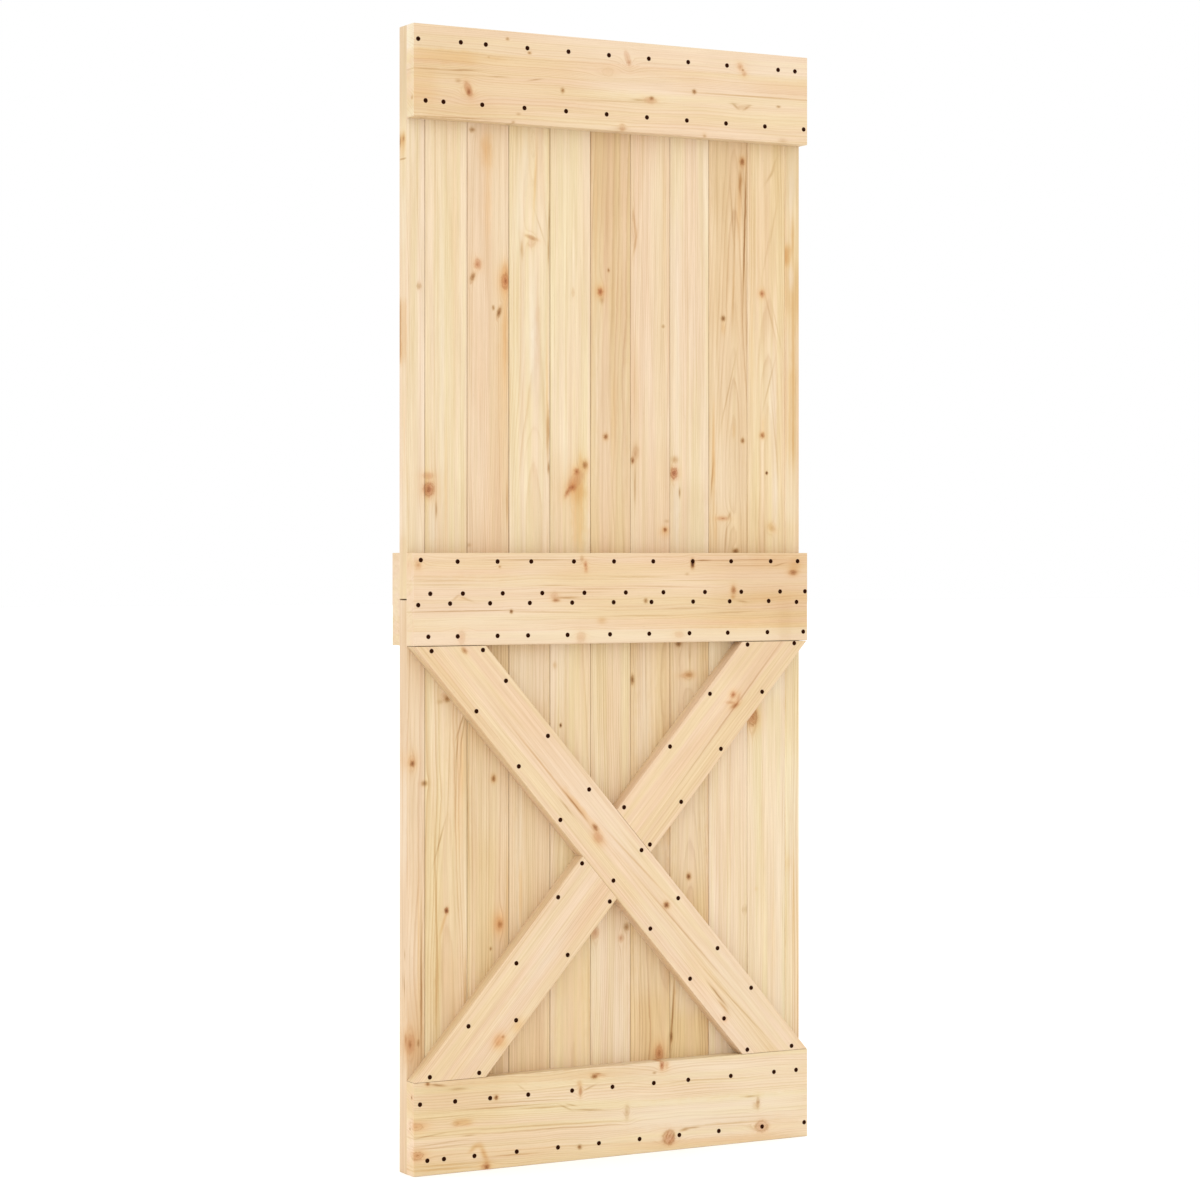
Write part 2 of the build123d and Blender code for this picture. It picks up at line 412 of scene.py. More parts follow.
# Three tones for each kind of stock: springwood, its warmer patches, and the dark of the rings
TINTS = {
    "cream": (srgb(242, 220, 182), srgb(238, 211, 167), srgb(208, 163, 108)),
    "pale": (srgb(243, 222, 188), srgb(240, 214, 175), srgb(212, 170, 118)),
    "yellow": (srgb(240, 214, 170), srgb(234, 202, 152), srgb(204, 156, 98)),
    "straw": (srgb(240, 214, 175), srgb(234, 202, 158), srgb(204, 156, 104)),
    "wheat": (srgb(239, 215, 175), srgb(233, 203, 157), srgb(203, 157, 104)),
    "pink": (srgb(241, 216, 180), srgb(236, 205, 164), srgb(206, 158, 110)),
    "tan": (srgb(235, 205, 165), srgb(229, 195, 151), srgb(196, 148, 98)),
    "amber": (srgb(231, 201, 157), srgb(224, 190, 143), srgb(190, 141, 90)),
    "sand": (srgb(234, 204, 160), srgb(227, 193, 146), srgb(193, 144, 93)),
    "flax": (srgb(244, 223, 185), srgb(241, 215, 173), srgb(207, 162, 110)),
    "rail": (srgb(242, 216, 178), srgb(238, 207, 165), srgb(207, 160, 108)),
    "chalk": (srgb(245, 226, 190), srgb(242, 219, 178), srgb(214, 174, 121)),
    "fawn": (srgb(237, 209, 166), srgb(231, 199, 152), srgb(198, 151, 99)),
    "ochre": (srgb(234, 203, 154), srgb(227, 192, 140), srgb(193, 143, 88)),
    "buff": (srgb(242, 218, 178), srgb(236, 206, 161), srgb(206, 160, 108)),
    "brace": (srgb(241, 213, 174), srgb(237, 205, 162), srgb(208, 160, 108)),
}


def K(x, z, ra, rl, dark, red, halo, tilt=0.0, flow=1.0, lean=0.12, core=0.0, reach=400.0, rim=None, sharp=None):
    """A knot. A brown one is dark all over; in a red one only a small core is dark."""
    if sharp is None:
        sharp = 1.0 if dark > red else (ra / (1.6 + 0.17 * ra)) ** 2
    if rim is None:
        rim = 0.4 if ra >= 7 and red > 0.5 else 0.12
    return dict(x=x, z=z, ra=ra, rl=rl, dark=dark, red=red, halo=halo, tilt=tilt, flow=flow, lean=lean, core=core,
                reach=reach, rim=rim, sharp=sharp)


def M(x, z, ra, rl, brown=0.0, orange=0.0, pale=0.0, tilt=0.0, edge=2.0):
    return dict(x=x, z=z, ra=ra, rl=rl, brown=brown, orange=orange, pale=pale, tilt=tilt, edge=edge)


def A(a, l, ra, rl, brown=0.0, orange=0.0, pale=0.0, tilt=0.0, edge=2.0):
    """A mark placed in a brace's own measures: a across it, l along it, from its anchor corner."""
    return dict(a=a, l=l, ra=ra, rl=rl, brown=brown, orange=orange, pale=pale, tilt=tilt, edge=edge)


def E(y, z, ra, rl, brown=0.0, orange=0.0, pale=0.0, plane=0.0, tilt=0.0, edge=2.0):
    """A mark on the door's left (plane 0) or right edge face, at depth y and height z: a stained or tinted patch, and
    painted shade where a brown one is set behind the top rail.
    """
    return dict(y=y, z=z, ra=ra, rl=rl, brown=brown, orange=orange, pale=pale, plane=plane, tilt=tilt, edge=edge)


# Boards, left to right: tint, pith (X of the stem's centre, depth behind the door's front plane),
# ring spacing, ring contrast, then knots and stains. All in door millimetres.
UPPER = {
    1: ("pale", (-150, 150), 2.6, 0.55, [K(25, 1624, 4, 4.5, .3, 0, .1), K(44.5, 1252, 10.5, 12.5, .40, 1.0, .6), K(43, 1277, 11, 6, 0, .38, .3, flow=0)],
        [E(46, 1893, 10, 11, orange=1.1, brown=.1), E(57, 1890, 2.5, 10, brown=.5), E(43, 1894, 3, 4, brown=.35), E(48, 1873, 10, 16, orange=.45), E(46, 1857, 12, 1.6, brown=.4, edge=4),
         E(57, 1543, 4, 56, brown=.3, orange=.2, edge=8), E(45, 1543, 15, 55, orange=.42, edge=8), E(52, 1500, 6, 24, orange=.2, edge=6), E(40, 1340, 2, 60, orange=.3), E(45, 1560, 25, 500, orange=.09, edge=6)]),
    2: ("cream", (-160, 120), 3.4, 0.46, [K(44.5, 1252, 10.5, 12.5, .40, 1.0, .6), K(43, 1277, 11, 6, 0, .38, .3, flow=0)],
        [M(60, 1215, 2, 12, brown=.5), M(53, 1180, 7, 60, pale=.5), M(72, 1500, 4, 260, pale=.35), M(98, 1600, 7, 300, orange=.16), M(80, 1250, 2.5, 90, orange=.3)]),
    3: ("pink", (330, 120), 3.0, 0.60,
        [K(134, 1917, 4.5, 4, .55, 0, .1), K(145, 1669, 6.5, 8, .16, .6, .5), K(135, 1645, 3.8, 7, .6, .1, .3, tilt=22),
         K(203, 1640, 8, 15, .08, .62, 1.2), K(178, 1590, 2.4, 4, .55, 0, 0), K(190, 1582, 3.4, 7.5, .85, .05, .3, tilt=17)],
        [M(163, 1884, 13, 30, orange=.62, brown=.04), M(166, 1780, 7, 90, orange=.36), M(204, 1664, 7, 14, orange=.4), M(204, 1641, 2.6, 4.5, brown=.34), M(205, 1655, 2, 4, brown=.2),
         M(128, 1150, 4, 3, brown=.3), M(207, 1230, 2.5, 40, brown=.2, orange=.3), M(203, 1550, 6, 80, orange=.6), M(199, 1430, 11, 180, orange=.26, edge=3)]),
    4: ("cream", (262, 78), 4.4, 0.50,
        [K(258, 1724, 12, 3.2, .22, .2, .2, tilt=17), K(258, 1714, 8, 8, .02, .16, .2, flow=.5), K(262, 1900, 5, 26, 0, 0, 0, flow=1.6)],
        [M(238, 1700, 3, 16, brown=.26, orange=.2), M(266, 1830, 2.5, 60, orange=.45, tilt=3), M(276, 1745, 1.6, 25, brown=.16, tilt=-20), M(262, 1560, 7, 110, pale=.5), M(246, 1860, 6, 60, pale=.4), M(295.5, 1755, 1.5, 32, brown=.55),
         M(294, 1700, 1.5, 22, brown=.45), M(293, 1365, 2.4, 36, brown=.42, orange=.4), M(294.5, 1295, 2.2, 9, brown=.65),
         M(291, 1450, 3, 100, orange=.5), M(232, 1800, 8, 90, pale=.4), M(262, 1240, 9, 90, orange=.16)]),
    5: ("cream", (560, 140), 3.2, 0.40,
        [K(347, 1625, 3, 8, .1, .05, .15), K(372, 1301, 4.8, 6, .5, .2, .6), K(354, 1289, 5.5, 6, .26, .5, .5), K(352, 1272, 11, 22, 0, .42, .5, flow=0, tilt=38),
         K(345, 1259, 5.5, 6.5, .28, .5, .4, tilt=35, flow=0), K(334, 1249, 4.2, 10, .22, .55, .2, tilt=30, flow=0)],
        [M(358, 1248, 14, 20, orange=.75, brown=.03), M(357, 1195, 12, 55, orange=.46, edge=3), M(362, 1312, 4, 14, orange=.4),
         M(330, 1300, 5, 50, pale=.3)]),
    6: ("sand", (520, 210), 4.4, 0.55,
        [K(405, 1629, 6.2, 7.5, .34, .86, 1.0), K(423, 1670, 2, 3.2, .6, 0, .1), K(417, 1355, 4, 4.5, .65, .2, .6)],
        [M(408, 1613, 4, 6, brown=.25), M(435, 1400, 7, 100, orange=.3), M(400, 1560, 5, 180, pale=.14), M(396, 1750, 3, 150, orange=.25)]),
    7: ("pink", (690, 110), 3.6, 0.46,
        [K(475.5, 1311, 3, 5, .66, .25, .1), K(481, 1322, 7, 14, .1, .16, .2, flow=0, tilt=12), K(547, 1180, 3.0, 3.0, .82, .1, .9), K(543, 1568, 3, 3, .34, 0, 0),
         K(478, 1745, 5, 30, 0, .06, .05, flow=.9)],
        [M(482, 1330, 6, 12, brown=.16), M(481, 1262, 1.5, 30, brown=.42), M(480, 1760, 2.2, 25, brown=.18, orange=.2, tilt=-7), M(481, 1722, 2.2, 22, brown=.2, orange=.2, tilt=10), M(545, 1800, 4, 120, orange=.2), M(478, 1440, 6, 90, orange=.15), M(546, 1176, 10, 10, orange=.45), M(551, 1196, 5, 3, brown=.22)]),
    8: ("pale", (380, 150), 3.4, 0.42,
        [K(567, 1288, 8.2, 10.5, .34, 1.1, .5, rim=.5)],
        [M(568, 1314, 7, 6, brown=.28, orange=.25), M(579, 1251, 1.8, 8, brown=.6), M(575, 1500, 5, 200, pale=.28), M(572, 1205, 8, 75, pale=.5)]),
    9: ("fawn", (700, 62), 4.8, 0.60,
        [K(720, 1893, 4.2, 6, .66, .25, .9), K(677, 1588, 4, 4.2, .95, 0, .05), K(721, 1353, 3.3, 4.2, .78, 0, .25),
         K(676, 1202, 11, 3.5, .3, .4, .4), K(705, 1139, 5.5, 4.4, 1.0, 0, .1)],
        [M(716, 1852, 3.4, 20, brown=.46, orange=.4), M(713, 1800, 5, 45, orange=.42), M(725.5, 1755, 1.6, 105, brown=.95, orange=.3, tilt=1.6),
         M(677, 1570, 4, 12, orange=.42), M(691, 1208, 2.5, 6, brown=.3, tilt=20), M(655, 1322, 3.4, 82, orange=.72), M(683, 1163, 1.6, 26, brown=.32, tilt=4), M(701, 1370, 2.4, 12, orange=.4),
         M(689, 1450, 1.4, 55, brown=.28, tilt=14), M(660, 1180, 3, 30, orange=.35), M(652, 1280, 1.6, 30, brown=.3, orange=.3, tilt=5), M(663, 1830, 1.2, 80, brown=.22), M(697, 1790, 1.6, 60, brown=.26, tilt=-4), M(703, 1760, 1.6, 60, brown=.3, tilt=2), M(700, 1640, 2.0, 60, brown=.2, orange=.2, tilt=2)]),
    10: ("yellow", (778, 68), 5.0, 0.58,
         [K(765, 1639, 5.6, 6, .3, .6, .6), K(766, 1364, 4.2, 4.2, .46, .3, .8), K(776, 1291, 2.1, 2.5, 1.9, 0, 0),
          K(788, 1184, 7, 5, .13, 0, .6, tilt=40)],
         [M(768, 1385, 5, 16, orange=.3), M(771, 1165, 1.5, 30, brown=.2), M(781, 1462, 1.5, 40, brown=.24, tilt=16), M(794, 1370, 1.4, 70, brown=.18, tilt=-6),
          M(783, 1600, 1.6, 50, brown=.16, tilt=-16), M(798, 1580, 1.4, 50, brown=.12, tilt=-14), M(742, 1560, 3, 120, orange=.22), M(783, 1868, 2.4, 16, brown=.2, tilt=34), M(793, 1890, 2.2, 16, brown=.14, tilt=22), M(790, 1770, 1.6, 40, brown=.14, tilt=12), M(776, 1720, 1.6, 40, brown=.12, tilt=12), M(796, 1250, 7, 60, pale=.4), M(790, 1420, 8, 90, pale=.3)]),
    11: ("buff", (1020, 110), 3.8, 0.52, [],
         [M(821, 1716, 9, 19, orange=.9, brown=.1, tilt=10, edge=3), M(836, 1752, 3, 34, orange=.6, brown=.06), M(833, 1672, 6, 22, pale=.6, edge=3), M(845, 1640, 5, 60, orange=.3), M(833, 1850, 9, 60, pale=.4),
          M(837, 1510, 4.4, 150, orange=.6, brown=.05), M(829, 1400, 2, 110, orange=.3), M(837, 1350, 3, 40, orange=.45, brown=.05)]),
}
LOWER = {
    1: ("pink", (60, 90), 3.8, 0.66, [K(11.5, 750, 3.8, 4.6, .74, .15, .2), K(10, 754, 8, 11, 0, .14, .6, flow=.5), K(36, 713, 5.4, 4, .56, 0, .4), K(7, 237, 9, 17, .3, .34, .7, reach=12), K(23.5, 238, 2.4, 6, .4, 0, 0, flow=0)],
        [M(29.5, 335, 1.8, 105, brown=.7, orange=.2), M(24, 430, 1.8, 100, orange=.35), M(18, 265, 24, 80, brown=.05, orange=.22, edge=3), E(34, 246, 4, 10, orange=.5, brown=.2),
         E(40, 343, 1.3, 16, brown=.6), E(46, 352, 1.0, 12, brown=.45), E(38, 400, 1.4, 8, brown=.5), E(47, 700, 2, 120, orange=.35)]),
    2: ("cream", (80, 62), 5.6, 0.62, [K(82.5, 866, 4.4, 4.6, .6, .05, .1), K(76, 872, 8, 6, .08, .1, .2, flow=.4), K(81, 477.5, 3.4, 4.6, .9, .8, .2), K(36, 713, 5.4, 4, .56, 0, .4)],
        [M(68, 862, 6, 4, brown=.2), M(61, 450, 1.5, 150, brown=.26, orange=.3, tilt=-1.5), M(60, 325, 2.2, 75, brown=.26, orange=.4), M(119.5, 325, 2.0, 55, brown=.24, orange=.3), M(67, 400, 2.4, 60, orange=.3, tilt=3), M(67, 605, 1.4, 30, brown=.4, tilt=17),
         M(110, 818, 1.4, 24, brown=.4, tilt=20), M(103, 775, 1.3, 34, brown=.34, tilt=6), M(101, 710, 1.2, 60, brown=.2, orange=.2, tilt=1), M(115, 806, 1.2, 30, brown=.3, tilt=10), M(110, 750, 1.1, 50, brown=.22, tilt=3), M(86, 730, 1.1, 90, brown=.22, tilt=2), M(113, 745, 7, 62, orange=.42, edge=3), M(108, 640, 8, 60, orange=.2), M(75, 456, 2.8, 20, orange=.6, brown=.08, tilt=18)]),
    3: ("fawn", (300, 100), 4.0, 0.82, [K(178.5, 717, 3.5, 4.8, .74, .05, .9), K(192, 446, 4.4, 6, .42, .1, .4), K(190, 448, 8, 13, 0, .05, 1.1, flow=.6), K(172.5, 402, 2.1, 3, .6, 0, 0)],
        [M(207, 500, 3, 60, orange=.3)]),
    4: ("fawn", (430, 120), 3.6, 0.86, [], [M(256, 370, 42, 150, pale=.08, edge=4), M(232, 600, 6, 250, pale=.25), M(235, 500, 4, 60, orange=.5, edge=3)]),
    5: ("cream", (345, 85), 4.2, 0.50, [K(320, 812, 2, 3.2, 1.5, 0, 0)], [M(345, 250, 60, 150, orange=.24, brown=.03), M(308, 925, 4, 6, brown=.16, orange=.3)]),
    6: ("wheat", (250, 150), 3.8, 0.80, [K(394, 419, 8.5, 12, .08, .48, .2), K(462, 426, 5, 6.5, .58, .05, 0), K(450, 405, 6, 7, .2, .34, .05)], [M(428, 310, 45, 150, pale=.17, edge=4)]),
    7: ("ochre", (560, 130), 4.2, 0.82, [K(475, 895, 3.4, 7.5, .85, 0, .1), K(534, 181, 8.5, 14, .26, .62, .7, rim=.3)], [M(500, 850, 40, 190, pale=.16), M(500, 800, 14, 300, pale=.2)]),
    8: ("ochre", (600, 74), 4.0, 0.74,
        [K(577, 962, 5.5, 5, .9, 0, .1), K(600, 902, 7, 4.5, .34, 0, .6), K(593, 900, 13, 4, .06, .1, .3, flow=.4), K(599.5, 515, 3.9, 4.8, 1.05, .2, .4), K(561, 210, 3, 8, .6, 0, .2)],
        [M(590, 830, 50, 170, pale=.25), M(602, 930, 1.5, 20, brown=.28), M(563, 245, 1.8, 55, brown=.85, tilt=4), M(568, 285, 3, 30, orange=.4)]),
    9: ("pale", (800, 100), 4.4, 0.46, [K(726, 445, 6, 5, .17, 0, 0)], []),
    10: ("chalk", (930, 90), 4.0, 0.46, [K(744, 817, 10, 16, .16, .5, .9, rim=.6, sharp=1.0)], [M(752, 484, 4, 4, orange=.3), M(747, 845, 5, 16, brown=.3, orange=.3), M(768, 520, 6, 170, orange=.16), M(790, 400, 5, 150, orange=.2)]),
    11: ("chalk", (1000, 110), 3.6, 0.90, [], [M(845, 400, 3, 200, orange=.2), M(838, 460, 2.5, 100, orange=.6), M(825, 530, 7, 18, orange=.3), M(842, 560, 12, 180, pale=.2)]),
}


# how deep the painted shadow on the slopes of each joint's V is, left to right; the last one, below zero, paints that
# joint's slopes lighter
JOINT_SHADE_DEPTH = (0.4, 0.5, 0.75, 0.6, 0.4, 0.3, 0.3, 0.2, 0.1, -0.4)
# boards whose rings close into pointed arches run faster up the taper
TAPER = {("upper", 4): 0.008, ("upper", 9): 0.020, ("upper", 10): 0.018, ("lower", 2): 0.019, ("lower", 5): 0.016, ("lower", 8): 0.018}

# how far each board's colour drifts between rosy and straw
HUES = {("lower", 4): 0.3, ("upper", 3): 0.25, ("upper", 7): 0.35, ("upper", 9): 0.2, ("lower", 1): 0.25, ("lower", 7): 0.3}
SEEDS = {("upper", 9): 3.3}
# slides the pointed arches up or down these boards
PHASES = {("upper", 9): -2.5, ("upper", 10): 3.4}


# broad drifts of tone within single pieces: paler where the sapwood shows, warmer towards the heart. The brown drifts
# just under the top rail on upper boards 4, 5, 6, 9 and 11, just above the mid rail on upper boards 2, 4, 5, 7, 8, 10
# and 11, just above the bottom rail on lower board 1, and on upper board 1's edge face behind the top rail are painted
# shade; the pale drifts just under the mid rail on lower boards 4 and 10 are painted light in that shade.
TONE_AND_PAINTED_SHADE = {
    "pine_upper_01": [E(45, 2018, 20, 95, brown=.13, edge=6), E(45, 1750, 18, 52, pale=.3, edge=4), E(45, 1080, 20, 40, orange=.16, edge=6), E(45, 1140, 20, 24, brown=.04, orange=.08, edge=4), E(45, 1215, 20, 46, pale=.2, edge=4), E(45, 1400, 20, 44, orange=.08, edge=4), M(18, 1300, 24, 170, pale=.14, edge=4)],
    "pine_upper_02": [M(80, 1190, 46, 90, brown=.035, edge=4)],
    "pine_upper_03": [M(167, 1540, 46, 420, orange=.045, edge=5), M(167, 1740, 46, 180, pale=.2, orange=.06, edge=4)],
    "pine_upper_04": [M(254, 1185, 46, 60, brown=.035, edge=4), M(254, 1860, 46, 90, orange=.1, brown=.01, edge=4), M(262, 1500, 40, 60, pale=.12, edge=4)],
    "pine_upper_05": [M(340, 1900, 46, 40, brown=.02, orange=.01, edge=4), M(340, 1225, 46, 95, orange=.16, brown=.035, edge=4)],
    "pine_upper_06": [M(428, 1850, 46, 100, brown=.05, orange=.02, edge=4), M(428, 1400, 46, 170, pale=.12, edge=4)],
    "pine_upper_07": [M(514, 1230, 46, 100, orange=.05, brown=.03, edge=4)],
    "pine_upper_08": [M(601, 1190, 46, 80, brown=.085, orange=.03, edge=4)],
    "pine_upper_09": [M(688, 1860, 46, 80, brown=.06, orange=.06, edge=4), M(688, 1480, 46, 90, pale=.08, edge=4), M(688, 1290, 46, 80, pale=.15, edge=4)],
    "pine_upper_10": [M(778, 1180, 46, 60, brown=.04, edge=4), M(775, 1650, 46, 300, pale=.1, edge=4)],
    "pine_upper_11": [M(834, 1880, 26, 60, brown=.1, edge=4), M(834, 1650, 26, 48, orange=.2, brown=.05, edge=4), M(834, 1530, 26, 40, pale=.12, edge=4),
                      M(834, 1260, 22, 60, pale=.2, edge=4), M(834, 1165, 24, 30, orange=.08, brown=.02, edge=4)],
    "pine_lower_01": [M(20, 760, 24, 180, pale=.15, edge=4), M(20, 225, 26, 40, brown=.05, edge=4), E(45, 1008, 20, 42, orange=.1, edge=6),
                      E(45, 900, 18, 110, brown=.04, orange=.04, edge=4), E(45, 640, 18, 90, pale=.2, edge=4), E(45, 555, 20, 440, pale=.26, orange=.16, edge=6),
                      E(45, 420, 18, 110, orange=.06, brown=.02, edge=4), E(45, 60, 20, 100, brown=.035, orange=.1, edge=6)],
    "pine_lower_02": [M(80, 470, 46, 50, brown=.01, orange=.04, edge=4), M(80, 330, 46, 80, orange=.11, brown=.03, edge=4)],
    "pine_lower_03": [M(167, 390, 46, 50, brown=.02, orange=.03, edge=4), M(167, 690, 46, 90, pale=.15, edge=4)],
    "pine_lower_04": [M(254, 905, 46, 50, pale=.2, edge=4), M(254, 245, 46, 120, orange=.12, edge=4), M(254, 620, 46, 90, pale=.1, edge=4)],
    "pine_lower_05": [M(340, 360, 46, 60, orange=.08, brown=.01, edge=4)],
    "pine_lower_07": [M(515, 548, 46, 55, pale=.32, orange=.06, edge=4), M(515, 360, 46, 70, pale=.2, edge=4)],
    "pine_lower_08": [M(601, 600, 46, 110, pale=.32, orange=.08, edge=4), M(601, 310, 46, 55, pale=.32, edge=4)],
    "pine_lower_10": [M(778, 905, 46, 50, pale=.3, edge=4)],
    "pine_lower_11": [M(834, 850, 26, 100, orange=.16, brown=.04, edge=4), M(834, 600, 24, 110, pale=.14, edge=4), M(834, 310, 26, 120, orange=.06, edge=4)],
    "pine_top_rail": [M(70, 1955, 24, 100, brown=.05, orange=.05, edge=4), M(60, 2030, 60, 90, brown=.03, orange=.01, edge=4), M(790, 2075, 22, 70, pale=.15, edge=4),
                      M(460, 2025, 26, 110, pale=.2, edge=4), M(740, 2025, 26, 110, pale=.12, edge=4)],
    "pine_front_mid_rail": [M(800, 974, 70, 14, brown=.04, orange=.01, edge=4), M(620, 1036, 26, 230, brown=.03, orange=.01, edge=4), M(150, 1060, 30, 160, pale=.2, edge=4), M(270, 1111, 20, 60, pale=.12, edge=4), M(770, 1085, 60, 130, brown=.07, orange=.04, edge=4),
                            M(820, 1000, 36, 50, brown=.06, orange=.03, edge=4), M(100, 992, 30, 100, orange=.08, edge=4), E(15, 985, 20, 40, orange=.12, brown=.03, edge=4)],
    "pine_bottom_rail": [M(90, 138, 30, 110, brown=.05, orange=.1, edge=4), M(50, 146, 22, 56, brown=.03, orange=.05, edge=4), M(80, 95, 30, 110, orange=.08, brown=.02, edge=4), M(50, 28, 24, 56, orange=.06, brown=.02, edge=4),
                         M(640, 147, 20, 220, pale=.2, edge=4), M(470, 28, 24, 55, orange=.1, edge=4), M(800, 28, 24, 50, orange=.1, edge=4),
                         E(15, 140, 18, 30, orange=.2, brown=.04, edge=4)],
    "pine_long_brace": [A(82, 700, 28, 360, pale=.08, edge=4), A(28, 755, 26, 80, pale=.2, edge=4), A(28, 1020, 26, 80, pale=.18, edge=4), A(82, 1000, 26, 140, pale=.2, edge=4),
                        A(82, 460, 26, 140, pale=.14, edge=4), A(28, 80, 26, 70, orange=.07, edge=4)],
    "pine_lower_short_brace": [A(28, 170, 26, 190, pale=.2, edge=4), A(82, 330, 26, 130, pale=.14, edge=4)],
    "pine_upper_short_brace": [A(82, 960, 26, 70, brown=.06, orange=.03, edge=4), A(28, 960, 28, 120, brown=.04, edge=4)],
}



def board_material(run, n, entry):
    tint, pith, ring, contrast, knots, marks = entry
    spec = dict(tint=TINTS[tint], seed=n * 1.37 + (0 if run == "upper" else 23.4) + SEEDS.get((run, n), 0.0), pith=pith, ring=ring, contrast=contrast,
                taper=TAPER.get((run, n), 0.006), face=STOCK, hue=HUES.get((run, n), 0.55), phase=PHASES.get((run, n), 0.0),
                bevel=(JOINT_SHADE_DEPTH[n - 2] if n > 1 else 0.0, JOINT_SHADE_DEPTH[n - 1] if n < 11 else 0.0))

    def local(f):
        return {**f, "a": f.get("y", f.get("x")), "l": f["z"]}

    return pine(f"pine_{run}_{n:02d}", (X_AXIS, ORIGIN_X), (Z_AXIS, ORIGIN_Z), (Y_AXIS, 0.0), spec,
                [local(k) for k in knots], [local(m) for m in marks + TONE_AND_PAINTED_SHADE.get(f"pine_{run}_{n:02d}", [])])


for run, table in (("upper", UPPER), ("lower", LOWER)):
    for n, entry in table.items():
        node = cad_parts[f"{run}_board_{n:02d}"]
        node.data.materials.clear()
        node.data.materials.append(board_material(run, n, entry))

# ---------------------------------------------------------------------------
# Screw positions, X and Z in door millimetres
# ---------------------------------------------------------------------------


def row(z, xs):
    return [(x, z) for x in xs]


SCREWS = {
    "top_rail": row(2071.5, (8.9, 95.7, 147.2, 233.8, 320.6, 407.3, 493.9, 580.7, 667.4, 783.4, 822.0))
    + row(1960.0, (23.9, 60.2, 139.8, 227.7, 315.5, 402.4, 489.9, 577.8, 665.2, 753.2, 842.2)),
    "front_mid_rail": [(14.2, 1122.4)]
    + row(1119.5, (89.1, 171.6, 241.9, 332.2, 418.3, 503.7, 590.9, 676.7, 766.5, 828.2))
    + row(1060.8, (33.4, 99.9, 182.3, 265.1, 354.6, 443.8, 526.0, 618.0, 699.6, 787.9, 845.2))
    + [(8.9, 1040.3), (825.7, 1040.3)]
    + row(1042.6, (73.8, 156.1, 238.9, 328.5, 417.5, 499.8, 591.7, 673.5, 761.8))
    + row(982.4, (29.5, 89.3, 171.6, 235.2, 318.7, 409.7, 494.9, 583.6, 669.1, 759.0, 841.2)),
    "bottom_rail": row(130.7, (12.6, 84.1, 156.2, 235.5, 328.4, 415.0, 504.9, 580.9, 676.0, 773.9, 824.7))
    + row(27.2, (27.4, 61.2, 123.7, 211.5, 298.3, 385.8, 473.8, 561.1, 649.1, 746.9, 843.4)),
    "long_brace": [(141.3, 956.7), (189.0, 899.1), (277.0, 794.9), (364.7, 692.1), (478.1, 573.3), (558.6, 478.3),
                   (646.1, 377.9), (721.9, 297.0), (814.3, 178.2), (36.0, 956.2), (127.8, 844.3), (215.8, 740.2),
                   (303.4, 637.5), (417.0, 518.7), (497.3, 423.7), (584.9, 323.2), (660.7, 242.2), (713.3, 178.3)],
    "upper_short_brace": [(713.8, 959.0), (629.2, 865.8), (540.6, 767.5), (440.1, 655.8), (820.5, 960.1),
                          (746.9, 867.3), (653.8, 759.7), (565.1, 661.4), (496.4, 583.2)],
    "lower_short_brace": [(349.6, 554.3), (298.7, 493.5), (210.7, 375.9), (111.4, 266.3), (32.5, 179.0),
                          (409.1, 479.8), (318.9, 384.7), (210.2, 270.5), (133.5, 179.0)],
    # the hidden side: the mid rail's rows again, between those of the front
    "back_mid_rail": row(1118.0, [52 + 83 * i for i in range(10)]) + row(1062.0, [24 + 89 * i for i in range(10)])
    + row(1038.0, [66 + 85 * i for i in range(10)]) + row(983.0, [45 + 84 * i for i in range(10)]),
}
HEAD = 4.25         # radius of a screw head
SUNK = 0.25         # how far it sits under the wood


def ring_of(bm, centre, radius, depth, face_sign, count=24):
    return [
        bm.verts.new(centre + Vector((math.cos(a), 0, math.sin(a))) * radius / 1000 + Vector((0, depth * face_sign / 1000, 0)))
        for a in (2 * math.pi * k / count for k in range(count))
    ]


def countersinks(points, y, sign):
    """One mesh of cutters, each a cone from just outside the face down to the shank."""
    bm = bmesh.new()
    for x, z in points:
        c = at(x, y, z)
        rings = [ring_of(bm, c, r, d, sign) for r, d in ((HEAD + 0.75, -0.5), (HEAD + 0.3, 0.0), (HEAD + 0.12, 0.35), (1.9, 2.7), (1.9, 6.0))]
        for a, b in zip(rings, rings[1:]):
            for i in range(len(a)):
                j = (i + 1) % len(a)
                bm.faces.new((a[i], a[j], b[j], b[i]))
        bm.faces.new(rings[0][::-1])
        bm.faces.new(rings[-1])
    bmesh.ops.recalc_face_normals(bm, faces=bm.faces)
    mesh = bpy.data.meshes.new("cutters")
    bm.to_mesh(mesh)
    bm.free()
    return mesh


def link(name, mesh):
    o = bpy.data.objects.new(name, mesh)
    bpy.context.scene.collection.objects.link(o)
    return o


def bake_modifiers(o):
    dg = bpy.context.evaluated_depsgraph_get()
    mesh = bpy.data.meshes.new_from_object(o.evaluated_get(dg))
    o.modifiers.clear()
    old, o.data = o.data, mesh
    bpy.data.meshes.remove(old)


